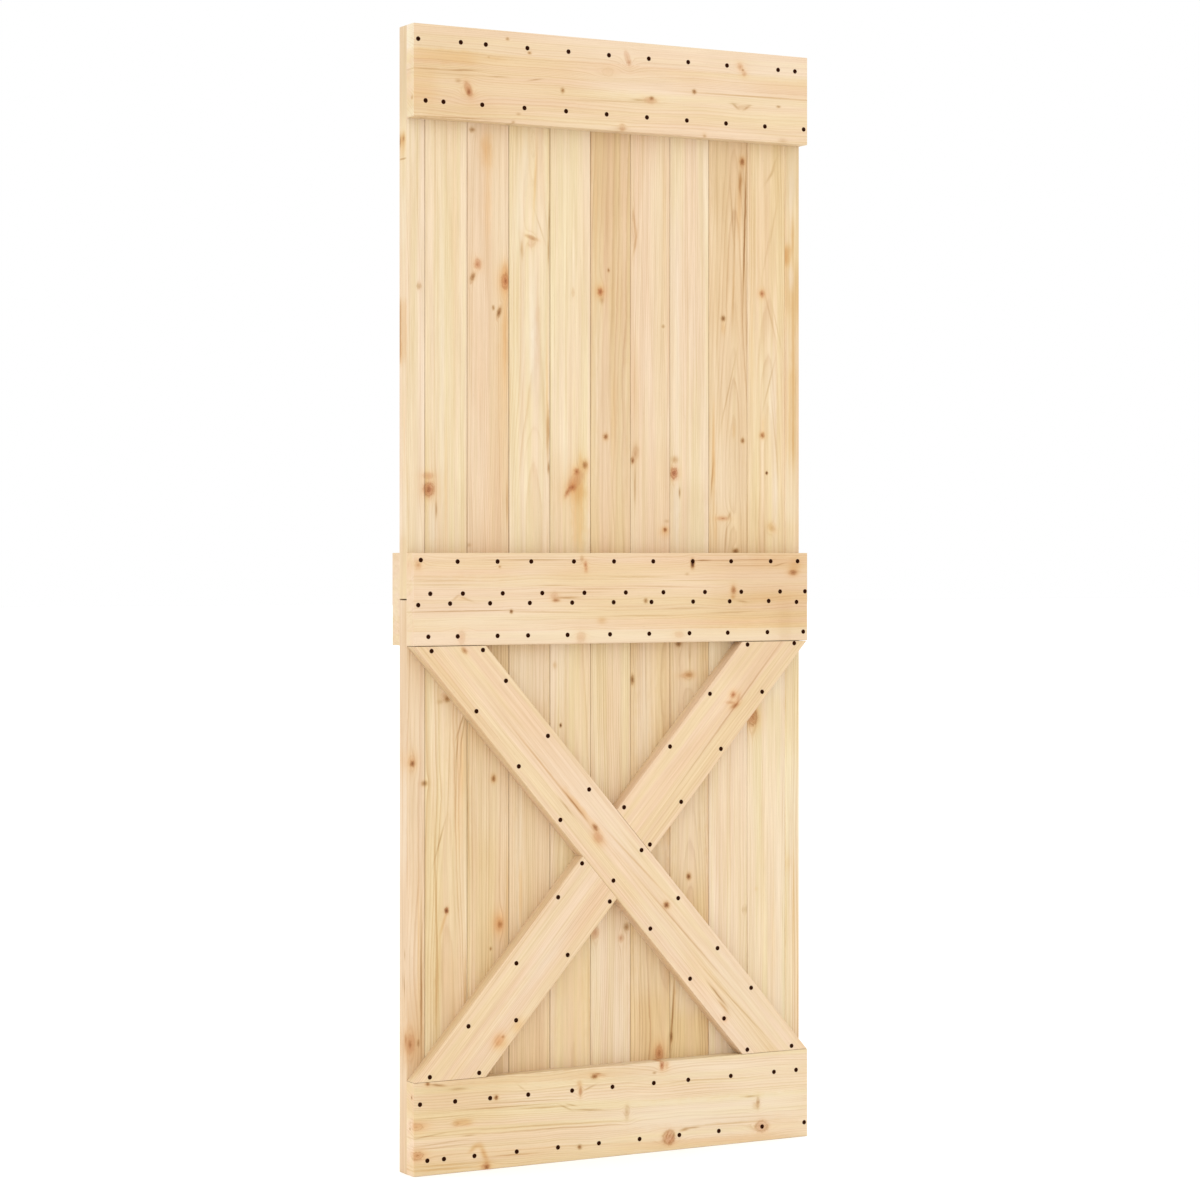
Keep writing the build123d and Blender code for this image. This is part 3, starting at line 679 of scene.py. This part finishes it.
def rounded_bar(across, length_axis, thick_axis, start, width, length, thickness, near, far, planes):
    """A bar with rounded long edges, of radius near and far along thick_axis: start is a corner;
    planes (point, normal) cut its ends."""
    bm = bmesh.new()
    outline, steps = [], 5
    for cu, cv, r, first in ((near, near, near, 180), (width - near, near, near, 270),
                             (width - far, thickness - far, far, 0), (far, thickness - far, far, 90)):
        for k in range(steps + 1):
            a = math.radians(first + 90 * k / steps)
            outline.append((cu + r * math.cos(a), cv + r * math.sin(a)))
    ends = []
    for s in (0.0, length):
        ends.append([bm.verts.new(start + across * (u / 1000) + thick_axis * (v / 1000) + length_axis * (s / 1000)) for u, v in outline])
    n = len(outline)
    for i in range(n):
        j = (i + 1) % n
        bm.faces.new((ends[0][i], ends[0][j], ends[1][j], ends[1][i]))
    bm.faces.new(ends[0][::-1])
    bm.faces.new(ends[1])
    for point, normal in planes:
        cut = bmesh.ops.bisect_plane(bm, geom=bm.verts[:] + bm.edges[:] + bm.faces[:], plane_co=point, plane_no=normal, clear_outer=True)
        edges = [e for e in cut["geom_cut"] if isinstance(e, bmesh.types.BMEdge)]
        bmesh.ops.contextual_create(bm, geom=edges)
    bmesh.ops.recalc_face_normals(bm, faces=bm.faces)
    mesh = bpy.data.meshes.new("bar")
    bm.to_mesh(mesh)
    bm.free()
    return mesh


def finish_bar(name, mesh, points, face_y, sign, material):
    """Cuts the countersinks, smooths the arrises and puts the piece in place of its node."""
    o = link(name + "_timber", mesh)
    cutter = link("cutter", countersinks(points, face_y, sign))
    m = o.modifiers.new("holes", "BOOLEAN")
    m.operation, m.solver, m.object = "DIFFERENCE", "EXACT", cutter
    bake_modifiers(o)
    bpy.data.objects.remove(cutter)
    o.data.materials.clear()
    o.data.materials.append(material)
    for p in o.data.polygons:
        p.use_smooth = True
    o.data.set_sharp_from_angle(angle=math.radians(32))
    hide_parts(name)
    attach(o, "root")
    return o


def bar_material(name, tint, grain_deg, pith, ring, contrast, knots, marks, seed, anchor=(0.0, 0.0), wander=(9.0, 16.0), taper=0.005, staves=(), streak=1.0, end=(1.04, 1.09, 1.15, 1), wave=0.0, wriggle=1.1):
    """Pine whose grain runs at grain_deg above +X. Features come in door X and Z."""
    a = math.radians(grain_deg)
    lx, lz = math.cos(a), math.sin(a)
    ax, az = -math.sin(a), math.cos(a)
    along = ((lx, 0.0, lz), lx * ORIGIN_X + lz * ORIGIN_Z - (lx * anchor[0] + lz * anchor[1]))
    across = ((ax, 0.0, az), ax * ORIGIN_X + az * ORIGIN_Z - (ax * anchor[0] + az * anchor[1]))

    def local(f):
        if "a" in f:
            return f
        if "y" in f:
            return {**f, "a": f["y"], "l": f["z"]}
        dx, dz = f["x"] - anchor[0], f["z"] - anchor[1]
        return {**f, "a": ax * dx + az * dz, "l": lx * dx + lz * dz, "tilt": -f["tilt"]}

    spec = dict(tint=TINTS[tint], seed=seed, pith=pith, ring=ring, contrast=contrast, wander=wander, taper=taper, staves=staves, streak=streak, end=end, wave=wave, wriggle=wriggle)
    return pine(name, across, along, (Y_AXIS, 0.0), spec, [local(k) for k in knots], [local(m) for m in marks + TONE_AND_PAINTED_SHADE.get(name, [])])


SHOWN, INNER = 1.5, 0.7     # radius of the eased edges on the show side and against the boards
RAILS = {
    "top_rail": (HEIGHT - RAIL, 0.0, 1, bar_material(
        "pine_top_rail", "rail", 1.0, (1760, 150), 3.7, 0.50,
        [K(192, 2085, 2.5, 3, .45, 0, .1), K(238, 2063, 2.4, 3.2, .55, 0, .2), K(447, 2070, 14, 5.5, .06, .3, 0, tilt=-18), K(451, 2061, 4, 5, .16, .2, 0, flow=0),
         K(697, 2071, 6.5, 5.5, .12, .26, .4, tilt=-20), K(706, 2058, 5.5, 5, .16, .22, .3, flow=0), K(703, 2065, 1.6, 2.4, .5, 0, 0, flow=0), K(405, 2040, 8, 12, .04, 0, .12), K(111, 1986, 13, 6.8, .06, .62, .35, tilt=-20, rim=.3), K(112, 1981.5, 4.8, 3.4, .4, .25, .1, flow=0),
         K(308, 1998, 4, 3.4, .65, 0, .1), K(498, 1993, 6, 12, .04, .36, .2), K(500, 1997, 3, 4.2, .55, .1, 0, flow=0), K(594, 2016, 3.6, 3.8, .8, 0, .1),
         K(702, 1993, 4, 10, .1, 0, .1), K(784, 2000, 2.2, 4, .48, 0, 0), K(436, 1937, 7, 4, .1, .2, .2)],
        [M(215, 1948, 2, 4, brown=.3), M(204, 1932, 3, 3, brown=.35), M(90, 2001, 3, 5, brown=.3), M(616, 1936, 5, 6, orange=.2),
         M(730, 2016, 1.3, 120, brown=.3, orange=.2, tilt=.4), M(98, 2020.5, 1.4, 26, brown=.42, tilt=-3), M(30, 2018, 1.1, 40, brown=.3), M(80, 2012, 1.0, 70, brown=.2),
         M(430, 1986, 1.3, 90, brown=.2, tilt=-1), M(472, 1991.5, 1.5, 13, brown=.4), M(250, 2014, 1.2, 12, brown=.4, tilt=-9), M(172, 2014, 1.1, 16, brown=.3, tilt=-2),
         M(166, 2047, 5, 24, brown=.03, orange=.22), M(153, 2049, 1.6, 2.4, brown=.2), M(687, 1994, 2, 7, brown=.35, tilt=38), M(712, 1993, 2, 7, brown=.3, tilt=-34), M(683, 1999, 1.4, 9, brown=.24), M(716, 1998.5, 1.4, 8, brown=.2),
         M(85, 1932.5, 1.2, 80, brown=.4), M(794, 1935, 4, 9, brown=.18), M(434, 1934, 3, 14, brown=.2), M(617, 1933, 2.5, 3, brown=.4), M(12, 1985, 34, 34, orange=.3, edge=3), M(800, 2038, 15, 70, orange=.18, edge=3),
         M(60, 2043, 13, 70, orange=.4, edge=5), M(470, 2043, 11, 300, orange=.08), E(8, 1965, 3, 3, brown=.4, orange=.3)],
        seed=51.3, streak=.6, wave=9.0, wriggle=2.0, end=(1.07, 1.18, 1.30, 1), staves=((2056.5, 2200, 0.5, 0.0165, 37.0, 0.0, 0.15, 0),))),
    "front_mid_rail": (MID, 0.0, 1, bar_material(
        "pine_front_mid_rail", "rail", 0.0, (1330, 150), 3.6, 0.44,
        [K(9, 1113.5, 7.5, 6, .14, .24, .3), K(176, 1110, 2, 2.5, .4, 0, .2), K(357, 1113, 6.5, 3.4, .26, .5, .4, tilt=-8), K(349, 1125, 5, 3.2, .2, .05, .2, flow=0), K(358, 1103, 4, 3, 0, .25, .2, flow=0),
         K(590.3, 1115, 6.6, 3.2, 2.0, 0, .3), K(818, 1097.5, 4.6, 7.5, .46, .3, .7), K(294, 1047, 2.6, 6.5, .42, .3, .2), K(291, 1055, 6, 8, .04, .22, .2, flow=0),
         K(487, 1045, 4, 3.4, .66, 0, 0), K(682, 1064, 6.6, 4.6, .4, .3, .6), K(200, 1027, 3.2, 3, 1.0, 0, 0),
         K(97, 980, 12, 7, 0, .22, .15), K(347, 978, 9, 9, 0, .26, .2), K(560, 980, 6, 9, 0, .2, .2)],
        [M(86, 1054, 2, 9, brown=.18, tilt=-36), M(108, 1050.5, 2, 15, brown=.18, tilt=20), M(97, 1051, 3, 10, orange=.3), M(318, 1052, 1.8, 20, brown=.42, orange=.2), M(681, 1051, 3, 4, orange=.45, brown=.15), M(702, 1042, 1.6, 10, brown=.35, tilt=5), M(100, 1028.5, 1.0, 100, brown=.42, edge=3, tilt=-.6), M(275, 1025.5, 1.0, 75, brown=.24, edge=3, tilt=1),
         M(250, 1122.5, 1.1, 85, brown=.42), M(392, 1008, 6, 9, orange=.4, brown=.08), M(290, 1075, 1.1, 28, brown=.22), M(375, 1068, 1.1, 50, brown=.18), M(330, 1062, 0.9, 60, brown=.24), M(60, 1077, .9, 60, brown=.22), M(50, 1084, .9, 50, brown=.18),
         M(612, 1121, 1.2, 15, brown=.6), M(655, 1121, 1, 40, brown=.3), M(735, 1122.5, 1.2, 42, brown=.28), M(718, 1111, 1.2, 66, brown=.2), M(786, 1113, 1.1, 14, brown=.36, tilt=-13), M(822, 1112, 9, 13, orange=.5, brown=.05), M(790, 1117, 15, 70, orange=.22, edge=3), M(780, 1050, 10, 100, orange=.3), M(720, 1004, 16, 190, orange=.3), M(120, 1010, 18, 150, pale=.3), M(578, 1095, 2.4, 4, brown=.2),
         # the last mark in this list, a thin brown line along the whole bottom edge at 966.5, is painted shade
         M(574, 1029.5, 1.1, 38, brown=.24, tilt=-1), M(676, 1021.5, 1.1, 50, brown=.26, tilt=-1.6), M(470, 1090, 1.0, 60, brown=.24), M(520, 1072, .9, 70, brown=.24, tilt=1), M(600, 1083, .9, 60, brown=.2), M(480, 1017, 1.0, 60, brown=.26), M(310, 1098, 10, 40, orange=.14), M(425, 966.5, 1.6, 450, brown=.07, edge=6)],
        seed=57.9, streak=.5, wave=12.0, wriggle=2.2, end=(1.03, 1.04, 1.06, 1), staves=((800, 991, 0.5, 0.0, 23.0, 0.3, 0.24, 0), (1044, 1200, 0.5, 0.0, 51.0, 0.0, 0, 0.06)))),
    "bottom_rail": (0.0, 0.0, 1, bar_material(
        "pine_bottom_rail", "flax", -1.2, (-230, 130), 3.9, 0.58,
        [K(168.5, 131, 3.3, 3.3, 1.1, .1, .5), K(346, 128, 8, 2.8, .26, .25, .4), K(343, 142, 5, 4, .03, .16, .3, flow=0), K(28, 167, 3, 3.4, .6, .2, .3), K(376, 153, 3.6, 5.6, .7, .25, .3), K(384, 156, 3, 14, 0, .25, .2, flow=0, tilt=8), K(522.5, 163, 8, 4.4, .36, .85, .5, rim=.3), K(533, 162, 6, 4, .05, .2, .4, flow=0),
         K(86, 90, 4, 5, .1, 0, .3), K(4, 91, 6, 14, .1, .1, .8, rim=.4, reach=6), K(7, 38, 7, 12, .22, .28, .8, rim=.5, reach=6), K(446, 80, 12, 4.6, .2, 0, .1),
         K(737, 74, 11, 3.4, .2, .05, .1), K(148, 6, 6.5, 8, .14, .6, .5), K(149, 4, 3, 3.5, .5, 0, 0, flow=0), K(344, 24, 3.6, 3.6, .85, .1, 0), K(538, 25, 13.5, 13, .05, .62, .2, rim=.6), K(546, 23, 7, 3.4, .2, .2, 0, flow=0, tilt=-20), K(540, 16, 3, 5, .2, .2, 0, flow=0, tilt=-40),
         K(745, 28, 10.5, 14, .03, .46, .2, rim=.5)],
        [M(506, 150, 2, 3.5, brown=.5), M(534, 31, 1.3, 7, brown=.3, orange=.2, tilt=-60), M(540, 28, 1.2, 6, brown=.3, tilt=-55), M(531, 22, 1.2, 7, brown=.2, orange=.2, tilt=-62), M(548, 27, 1.6, 4, brown=.35, tilt=-70), M(733, 70, 7, 8, brown=.1, orange=.14, edge=3), M(738, 76, 2.4, 3, brown=.3), M(720, 88, 1.8, 13, brown=.4), M(573, 37, 2.4, 9, brown=.45, orange=.3, tilt=-8), M(592, 38.5, 1.4, 11, brown=.45), M(101, 91, 6.5, 17, orange=.6, brown=.06, edge=3),
         M(120, 41, 4, 9, brown=.07, orange=.55, tilt=-35), M(131, 45, 4.2, 9, brown=.07, orange=.55), M(144, 28, 4.6, 17, brown=.09, orange=.7, tilt=67),
         M(48, 163.5, 1.8, 12, brown=.6, tilt=8), M(90, 153, 2, 15, brown=.4), M(221, 145, 1.4, 8, brown=.16, tilt=35), M(366, 133.5, 1.5, 12, brown=.32, tilt=-21), M(384, 158, 1.4, 5, brown=.4), M(650, 66, 26, 210, pale=.32, edge=6),
         M(190, 112, 1.2, 80, brown=.34, orange=.1), M(266, 104.5, 1.7, 50, brown=.3, orange=.15, tilt=.5), M(315, 100, 1.5, 12, brown=.3, tilt=24), M(327, 104, 1.2, 9, brown=.35, tilt=14), M(362, 92, 1.6, 28, brown=.4, tilt=4), M(225, 119, 1.0, 80, brown=.3, tilt=1), M(290, 70, 1.2, 120, brown=.18, orange=.1, tilt=.8), M(330, 62, 1.2, 110, brown=.18, tilt=1), M(60, 104, 1.0, 50, brown=.25, tilt=-1),
         M(54, 56.5, 1.3, 50, brown=.24, tilt=-4), M(60, 49.5, 1.2, 60, brown=.22, tilt=-2), M(30, 72, 1.1, 34, brown=.3, tilt=-7), M(112, 66, 1.4, 11, brown=.3), M(70, 16, 1.5, 68, brown=.16, orange=.3, tilt=0), M(56, 9, 1.5, 76, brown=.16, orange=.4, tilt=0), M(204, 22, 1.5, 42, brown=.3, orange=.3),
         # the mark at 425, 169 on this line, a thin brown line along the whole top edge, is painted shade
         M(620, 128, 1.2, 70, brown=.13, orange=.1, tilt=1), M(700, 50, 1.3, 90, brown=.16, tilt=1), M(675, 40, 1.6, 70, brown=.2, orange=.2), M(260, 161, 8, 260, brown=.05, orange=.2, edge=4), M(640, 10, 8, 170, orange=.25, edge=4), M(425, 169, 1.2, 450, brown=.045, edge=6),
         E(9, 143, 2.2, 2.6, brown=.9), E(16, 85, 1.8, 2, brown=.8)],
        seed=63.1, wave=20.0, wriggle=2.0, streak=.6, end=(1.08, 1.07, 1.12, 1), staves=((-200, 45, 0.6, 0.028, 31.0, 0.0, 0, 0.14),))),
    "back_mid_rail": (MID, 2 * STOCK, -1, bar_material(
        "pine_back_mid_rail", "rail", 0.0, (1400, -50), 4.8, 0.50,
        [K(150, 1080, 8, 11, .25, .6, .5, reach=60), K(402, 1010, 6, 8, .4, .5, .5), K(655, 1095, 10, 13, .2, .6, .5), K(760, 1000, 3, 3.4, .8, 0, .3)],
        [M(300, 1050, 10, 200, orange=.25)], seed=71.7, end=(0.985, 0.972, 0.97, 1), staves=((1020, 1300, 0.5, 0.0, 41.0, 0.15, 0.12, 0),))),
}
for name, (bottom, front, sign, material) in RAILS.items():
    x, y, z = Vector(X_AXIS), Vector(Y_AXIS), Vector(Z_AXIS)
    near, far = (SHOWN, INNER) if sign > 0 else (INNER, SHOWN)
    mesh = rounded_bar(z, x, y, at(0, front, bottom), RAIL, WIDTH, STOCK, near, far, [])
    finish_bar(name, mesh, SCREWS[name], front if sign > 0 else front + STOCK, sign, material)

# braces: a falling one from the upper left to the lower right, and a rising one in two pieces
LOW_GAP, HIGH_GAP, BUTT = 0.6, 1.1, 0.2
low, high = RAIL + LOW_GAP, MID - HIGH_GAP
run_x, run_z = WIDTH - CUT, MID - RAIL
span = math.hypot(run_x, run_z)
fall_dir, rise_dir = Vector((run_x / span, 0, -run_z / span)), Vector((run_x / span, 0, run_z / span))
fall_up, rise_up = Vector((run_z / span, 0, run_x / span)), Vector((-run_z / span, 0, run_x / span))
brace_w = CUT * run_z / span
ends_z = [(at(0, 0, high), Vector((0, 0, 1))), (at(0, 0, low), Vector((0, 0, -1)))]
fall_angle = math.degrees(math.atan2(-run_z, run_x))
rise_angle = -fall_angle
BRACES = {
    "long_brace": (
        ends_z,
        bar_material("pine_long_brace", "brace", fall_angle, (-190, 120), 4.4, 0.48,
                     [K(103, 956, 3.4, 6, .42, .2, .3), K(378, 620, 4.0, 7.0, .62, .25, .4, flow=.6), K(384, 601, 8, 10, 0, .26, .3, flow=0), K(532.5, 466.5, 4.6, 5.2, .92, .35, .5), K(662, 241, 5, 6, 0, .3, .3)],
                     [A(50, 340, 1.6, 90, brown=.22, orange=.2), A(51, 448, 1.9, 28, brown=.55), A(35, 438, 1.3, 18, brown=.4), A(54, 452, 5, 42, orange=.5, edge=3),
                      A(44, 529, 9, 15, brown=.07, orange=.3), A(36, 936, 1.6, 26, brown=.6), A(30, 962, 2.5, 16, brown=.25, orange=.3), A(75, 620, 1.7, 80, brown=.2, orange=.2, tilt=4), A(62, 790, 1.4, 120, brown=.3, orange=.06, tilt=2), A(54, 985, 1.4, 80, brown=.24, orange=.06, tilt=4)],
                     seed=81.9, anchor=(0.0, MID), staves=((58, 300, 3.0, 0.0, 9.0, 0.65, 0, 0.0),))),
    "upper_short_brace": (
        ends_z + [(at(CUT, 0, MID) + fall_up * (BUTT / 1000), -fall_up)],
        bar_material("pine_upper_short_brace", "brace", rise_angle, (-240, 110), 4.4, 0.45,
                     [K(681, 863, 5, 6, .34, .5, .8), K(685, 842, 3.6, 8, .32, .24, .6, tilt=20), K(676, 848, 3, 9, .12, .2, .3, flow=0, tilt=50), K(693, 856, 2.6, 8, .06, .16, .3, flow=0, tilt=-20)],
                     [A(40, 830, 1.5, 190, brown=.3, tilt=1)], seed=87.3, anchor=(CUT, RAIL), staves=((44, 300, 2.5, 0.0, 13.0, 0.65, 0, 0.03),))),
    "lower_short_brace": (
        ends_z + [(at(0, 0, MID) - fall_up * (BUTT / 1000), fall_up)],
        bar_material("pine_lower_short_brace", "brace", rise_angle, (300, 110), 4.0, 0.50,
                     [K(175, 235, 8, 9, 0, .13, 1.1, flow=.35), K(183, 242, 2.4, 2.6, .3, .15, .1, flow=0), K(170, 229, 2, 7, .1, 0, .2, flow=0)],
                     [M(275, 380, 18, 60, pale=.25), A(10, 112, 11, 15, orange=.5), A(22, 270, 15, 110, orange=.16, edge=3)], seed=93.7, anchor=(CUT, RAIL))),
}
for name, (planes, material) in BRACES.items():
    # the falling brace starts from its lower left corner line, the rising one from its lower right
    if name == "long_brace":
        across, along, start = fall_up, fall_dir, at(0, 0, MID) - fall_dir * 0.3
    else:
        across, along, start = rise_up, rise_dir, at(CUT, 0, RAIL) - rise_dir * 0.3
    mesh = rounded_bar(across, along, Vector(Y_AXIS), start, brace_w, (span + 600), STOCK, SHOWN, INNER, planes)
    finish_bar(name, mesh, SCREWS[name], 0.0, 1, material)


# ---------------------------------------------------------------------------
# Screws: countersunk heads with a cross recess, one joined piece for each timber
# ---------------------------------------------------------------------------
def screw_material():
    m = bpy.data.materials.new("black_screw")
    m.use_nodes = True
    g = Graph(m.node_tree)
    g.nodes.clear()
    here = g.add("ShaderNodeTexCoord").outputs["Object"]
    n = g.noise(g.vec("SCALE", here, scale=1000.0), scale=1.4, detail=3.0)[0]
    s = g.add("ShaderNodeBsdfPrincipled")
    g.put(s.inputs["Base Color"], g.mix(g.remap(n, 0.4, 0.7), srgb(38, 13, 2), srgb(56, 24, 7)))
    s.inputs["Specular IOR Level"].default_value = 0.03
    g.put(s.inputs["Roughness"], g.math("MULTIPLY_ADD", n, 0.25, 0.45))
    b = g.add("ShaderNodeBump")
    b.inputs["Strength"].default_value = 0.3
    b.inputs["Distance"].default_value = 0.00008
    g.put(b.inputs["Height"], n)
    g.put(s.inputs["Normal"], b.outputs[0])
    o = g.add("ShaderNodeOutputMaterial")
    g.put(o.inputs["Surface"], s.outputs[0])
    return m


def one_screw():
    """A head with a cross recess and the top of its shank, face at y = 0, looking along -Y."""
    bm = bmesh.new()
    n = 24
    profile = [(HEAD, 0.0), (HEAD, 0.25), (1.75, 2.5), (1.6, 5.2)]
    rings = [ring_of(bm, Vector(), r, d, 1, n) for r, d in profile]
    for a, b in zip(rings, rings[1:]):
        for i in range(n):
            j = (i + 1) % n
            bm.faces.new((a[i], a[j], b[j], b[i]))
    bm.faces.new(rings[0][::-1])
    bm.faces.new(rings[-1])
    bmesh.ops.recalc_face_normals(bm, faces=bm.faces)
    mesh = bpy.data.meshes.new("screw")
    bm.to_mesh(mesh)
    bm.free()
    head = link("screw_master", mesh)
    # the recess: two crossed tapered blades
    bm = bmesh.new()
    for turn in (0, 90):
        rot = Matrix.Rotation(math.radians(turn), 3, "Y")
        top = [Vector((sx * 2.35, -0.4, sz * 0.52)) for sx, sz in ((-1, -1), (1, -1), (1, 1), (-1, 1))]
        bottom = [Vector((sx * 1.15, 1.7, sz * 0.34)) for sx, sz in ((-1, -1), (1, -1), (1, 1), (-1, 1))]
        a = [bm.verts.new(rot @ v / 1000) for v in top]
        b = [bm.verts.new(rot @ v / 1000) for v in bottom]
        for i in range(4):
            j = (i + 1) % 4
            bm.faces.new((a[i], a[j], b[j], b[i]))
        bm.faces.new(a[::-1])
        bm.faces.new(b)
    bmesh.ops.recalc_face_normals(bm, faces=bm.faces)
    cut = bpy.data.meshes.new("recess")
    bm.to_mesh(cut)
    bm.free()
    cutter = link("recess", cut)
    m = head.modifiers.new("recess", "BOOLEAN")
    m.operation, m.solver, m.object, m.use_self = "DIFFERENCE", "EXACT", cutter, True
    bake_modifiers(head)
    bpy.data.objects.remove(cutter)
    bm = bmesh.new()
    bm.from_mesh(head.data)
    bmesh.ops.triangulate(bm, faces=bm.faces)
    bpy.data.objects.remove(head)
    return bm


master = one_screw()
black = screw_material()
for name, points in SCREWS.items():
    bm = bmesh.new()
    base = bpy.data.meshes.new("one")
    master.to_mesh(base)
    back = name == "back_mid_rail"
    for k, (x, z) in enumerate(points):
        spin = Matrix.Rotation(math.radians((k * 137.5 + len(name) * 31) % 90), 4, "Y")
        flip = Matrix.Rotation(math.pi, 4, "Z") if back else Matrix.Identity(4)
        y = 3 * STOCK - SUNK if back else SUNK
        place = Matrix.Translation(at(x, y, z)) @ flip @ spin
        piece = base.copy()
        piece.transform(place)
        bm.from_mesh(piece)
        bpy.data.meshes.remove(piece)
    mesh = bpy.data.meshes.new("screws_" + name)
    bm.to_mesh(mesh)
    bm.free()
    bpy.data.meshes.remove(base)
    mesh.materials.append(black)
    o = link("screws_" + name, mesh)
    for p in mesh.polygons:
        p.use_smooth = True
    mesh.set_sharp_from_angle(angle=math.radians(30))
    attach(o, "root")
master.free()

# ---------------------------------------------------------------------------
# Studio: pale floor, soft light, camera
# ---------------------------------------------------------------------------
floor_mesh = bpy.data.meshes.new("floor")
z0 = -ORIGIN_Z / 1000 - 0.0005
size = 60.0
floor_mesh.from_pydata([(-size, -size, z0), (size, -size, z0), (size, size, z0), (-size, size, z0)], [], [(0, 1, 2, 3)])
floor = link("floor", floor_mesh)
fm = bpy.data.materials.new("pale_floor")
fm.use_nodes = True
fb = fm.node_tree.nodes["Principled BSDF"]
fb.inputs["Base Color"].default_value = (0.86, 0.86, 0.86, 1)
fb.inputs["Roughness"].default_value = 0.9
fb.inputs["Specular IOR Level"].default_value = 0.1
fb.inputs["Emission Color"].default_value = (1, 1, 1, 1)
fb.inputs["Emission Strength"].default_value = 0.17
floor_mesh.materials.append(fm)

world = bpy.data.worlds.new("studio")
bpy.context.scene.world = world
world.use_nodes = True
wg = Graph(world.node_tree)
wg.nodes.clear()
path = wg.add("ShaderNodeLightPath")
seen = wg.add("ShaderNodeBackground")
seen.inputs["Color"].default_value = (1, 1, 1, 1)
seen.inputs["Strength"].default_value = 1.0
lit = wg.add("ShaderNodeBackground")
lit.inputs["Color"].default_value = (1, 1, 1, 1)
lit.inputs["Strength"].default_value = 1.315
both = wg.add("ShaderNodeMixShader")
wg.put(both.inputs[0], path.outputs["Is Camera Ray"])
wg.put(both.inputs[1], lit.outputs[0])
wg.put(both.inputs[2], seen.outputs[0])
wo = wg.add("ShaderNodeOutputWorld")
wg.put(wo.inputs["Surface"], both.outputs[0])


def sun(name, towards, strength, angle):
    """A very soft lamp; towards points from the door to the lamp."""
    data = bpy.data.lights.new(name, "SUN")
    data.energy, data.angle = strength, math.radians(angle)
    o = bpy.data.objects.new(name, data)
    o.rotation_euler = Vector(towards).to_track_quat("Z", "Y").to_euler()
    bpy.context.scene.collection.objects.link(o)
    return o


sun("key", (-0.8, -0.9, 0.4), 0.37, 80)

cam_data = bpy.data.cameras.new("camera")
cam = bpy.data.objects.new("camera", cam_data)
bpy.context.scene.collection.objects.link(cam)
bpy.context.scene.camera = cam
cam_data.sensor_width = 36.0
cam_data.lens = 3216.72 / 1200 * 36
cam_data.shift_y = -(600 - 554.91) / 1200
cam_data.clip_start, cam_data.clip_end = 0.1, 200
cam.location = at(-2559.72, -5271.9, 1131.72)
cam.rotation_euler = (math.radians(90), 0, -math.radians(29.21))

view = bpy.context.scene.view_settings
view.view_transform = "Standard"
view.look = "None"
view.exposure, view.gamma = 0.0, 1.0
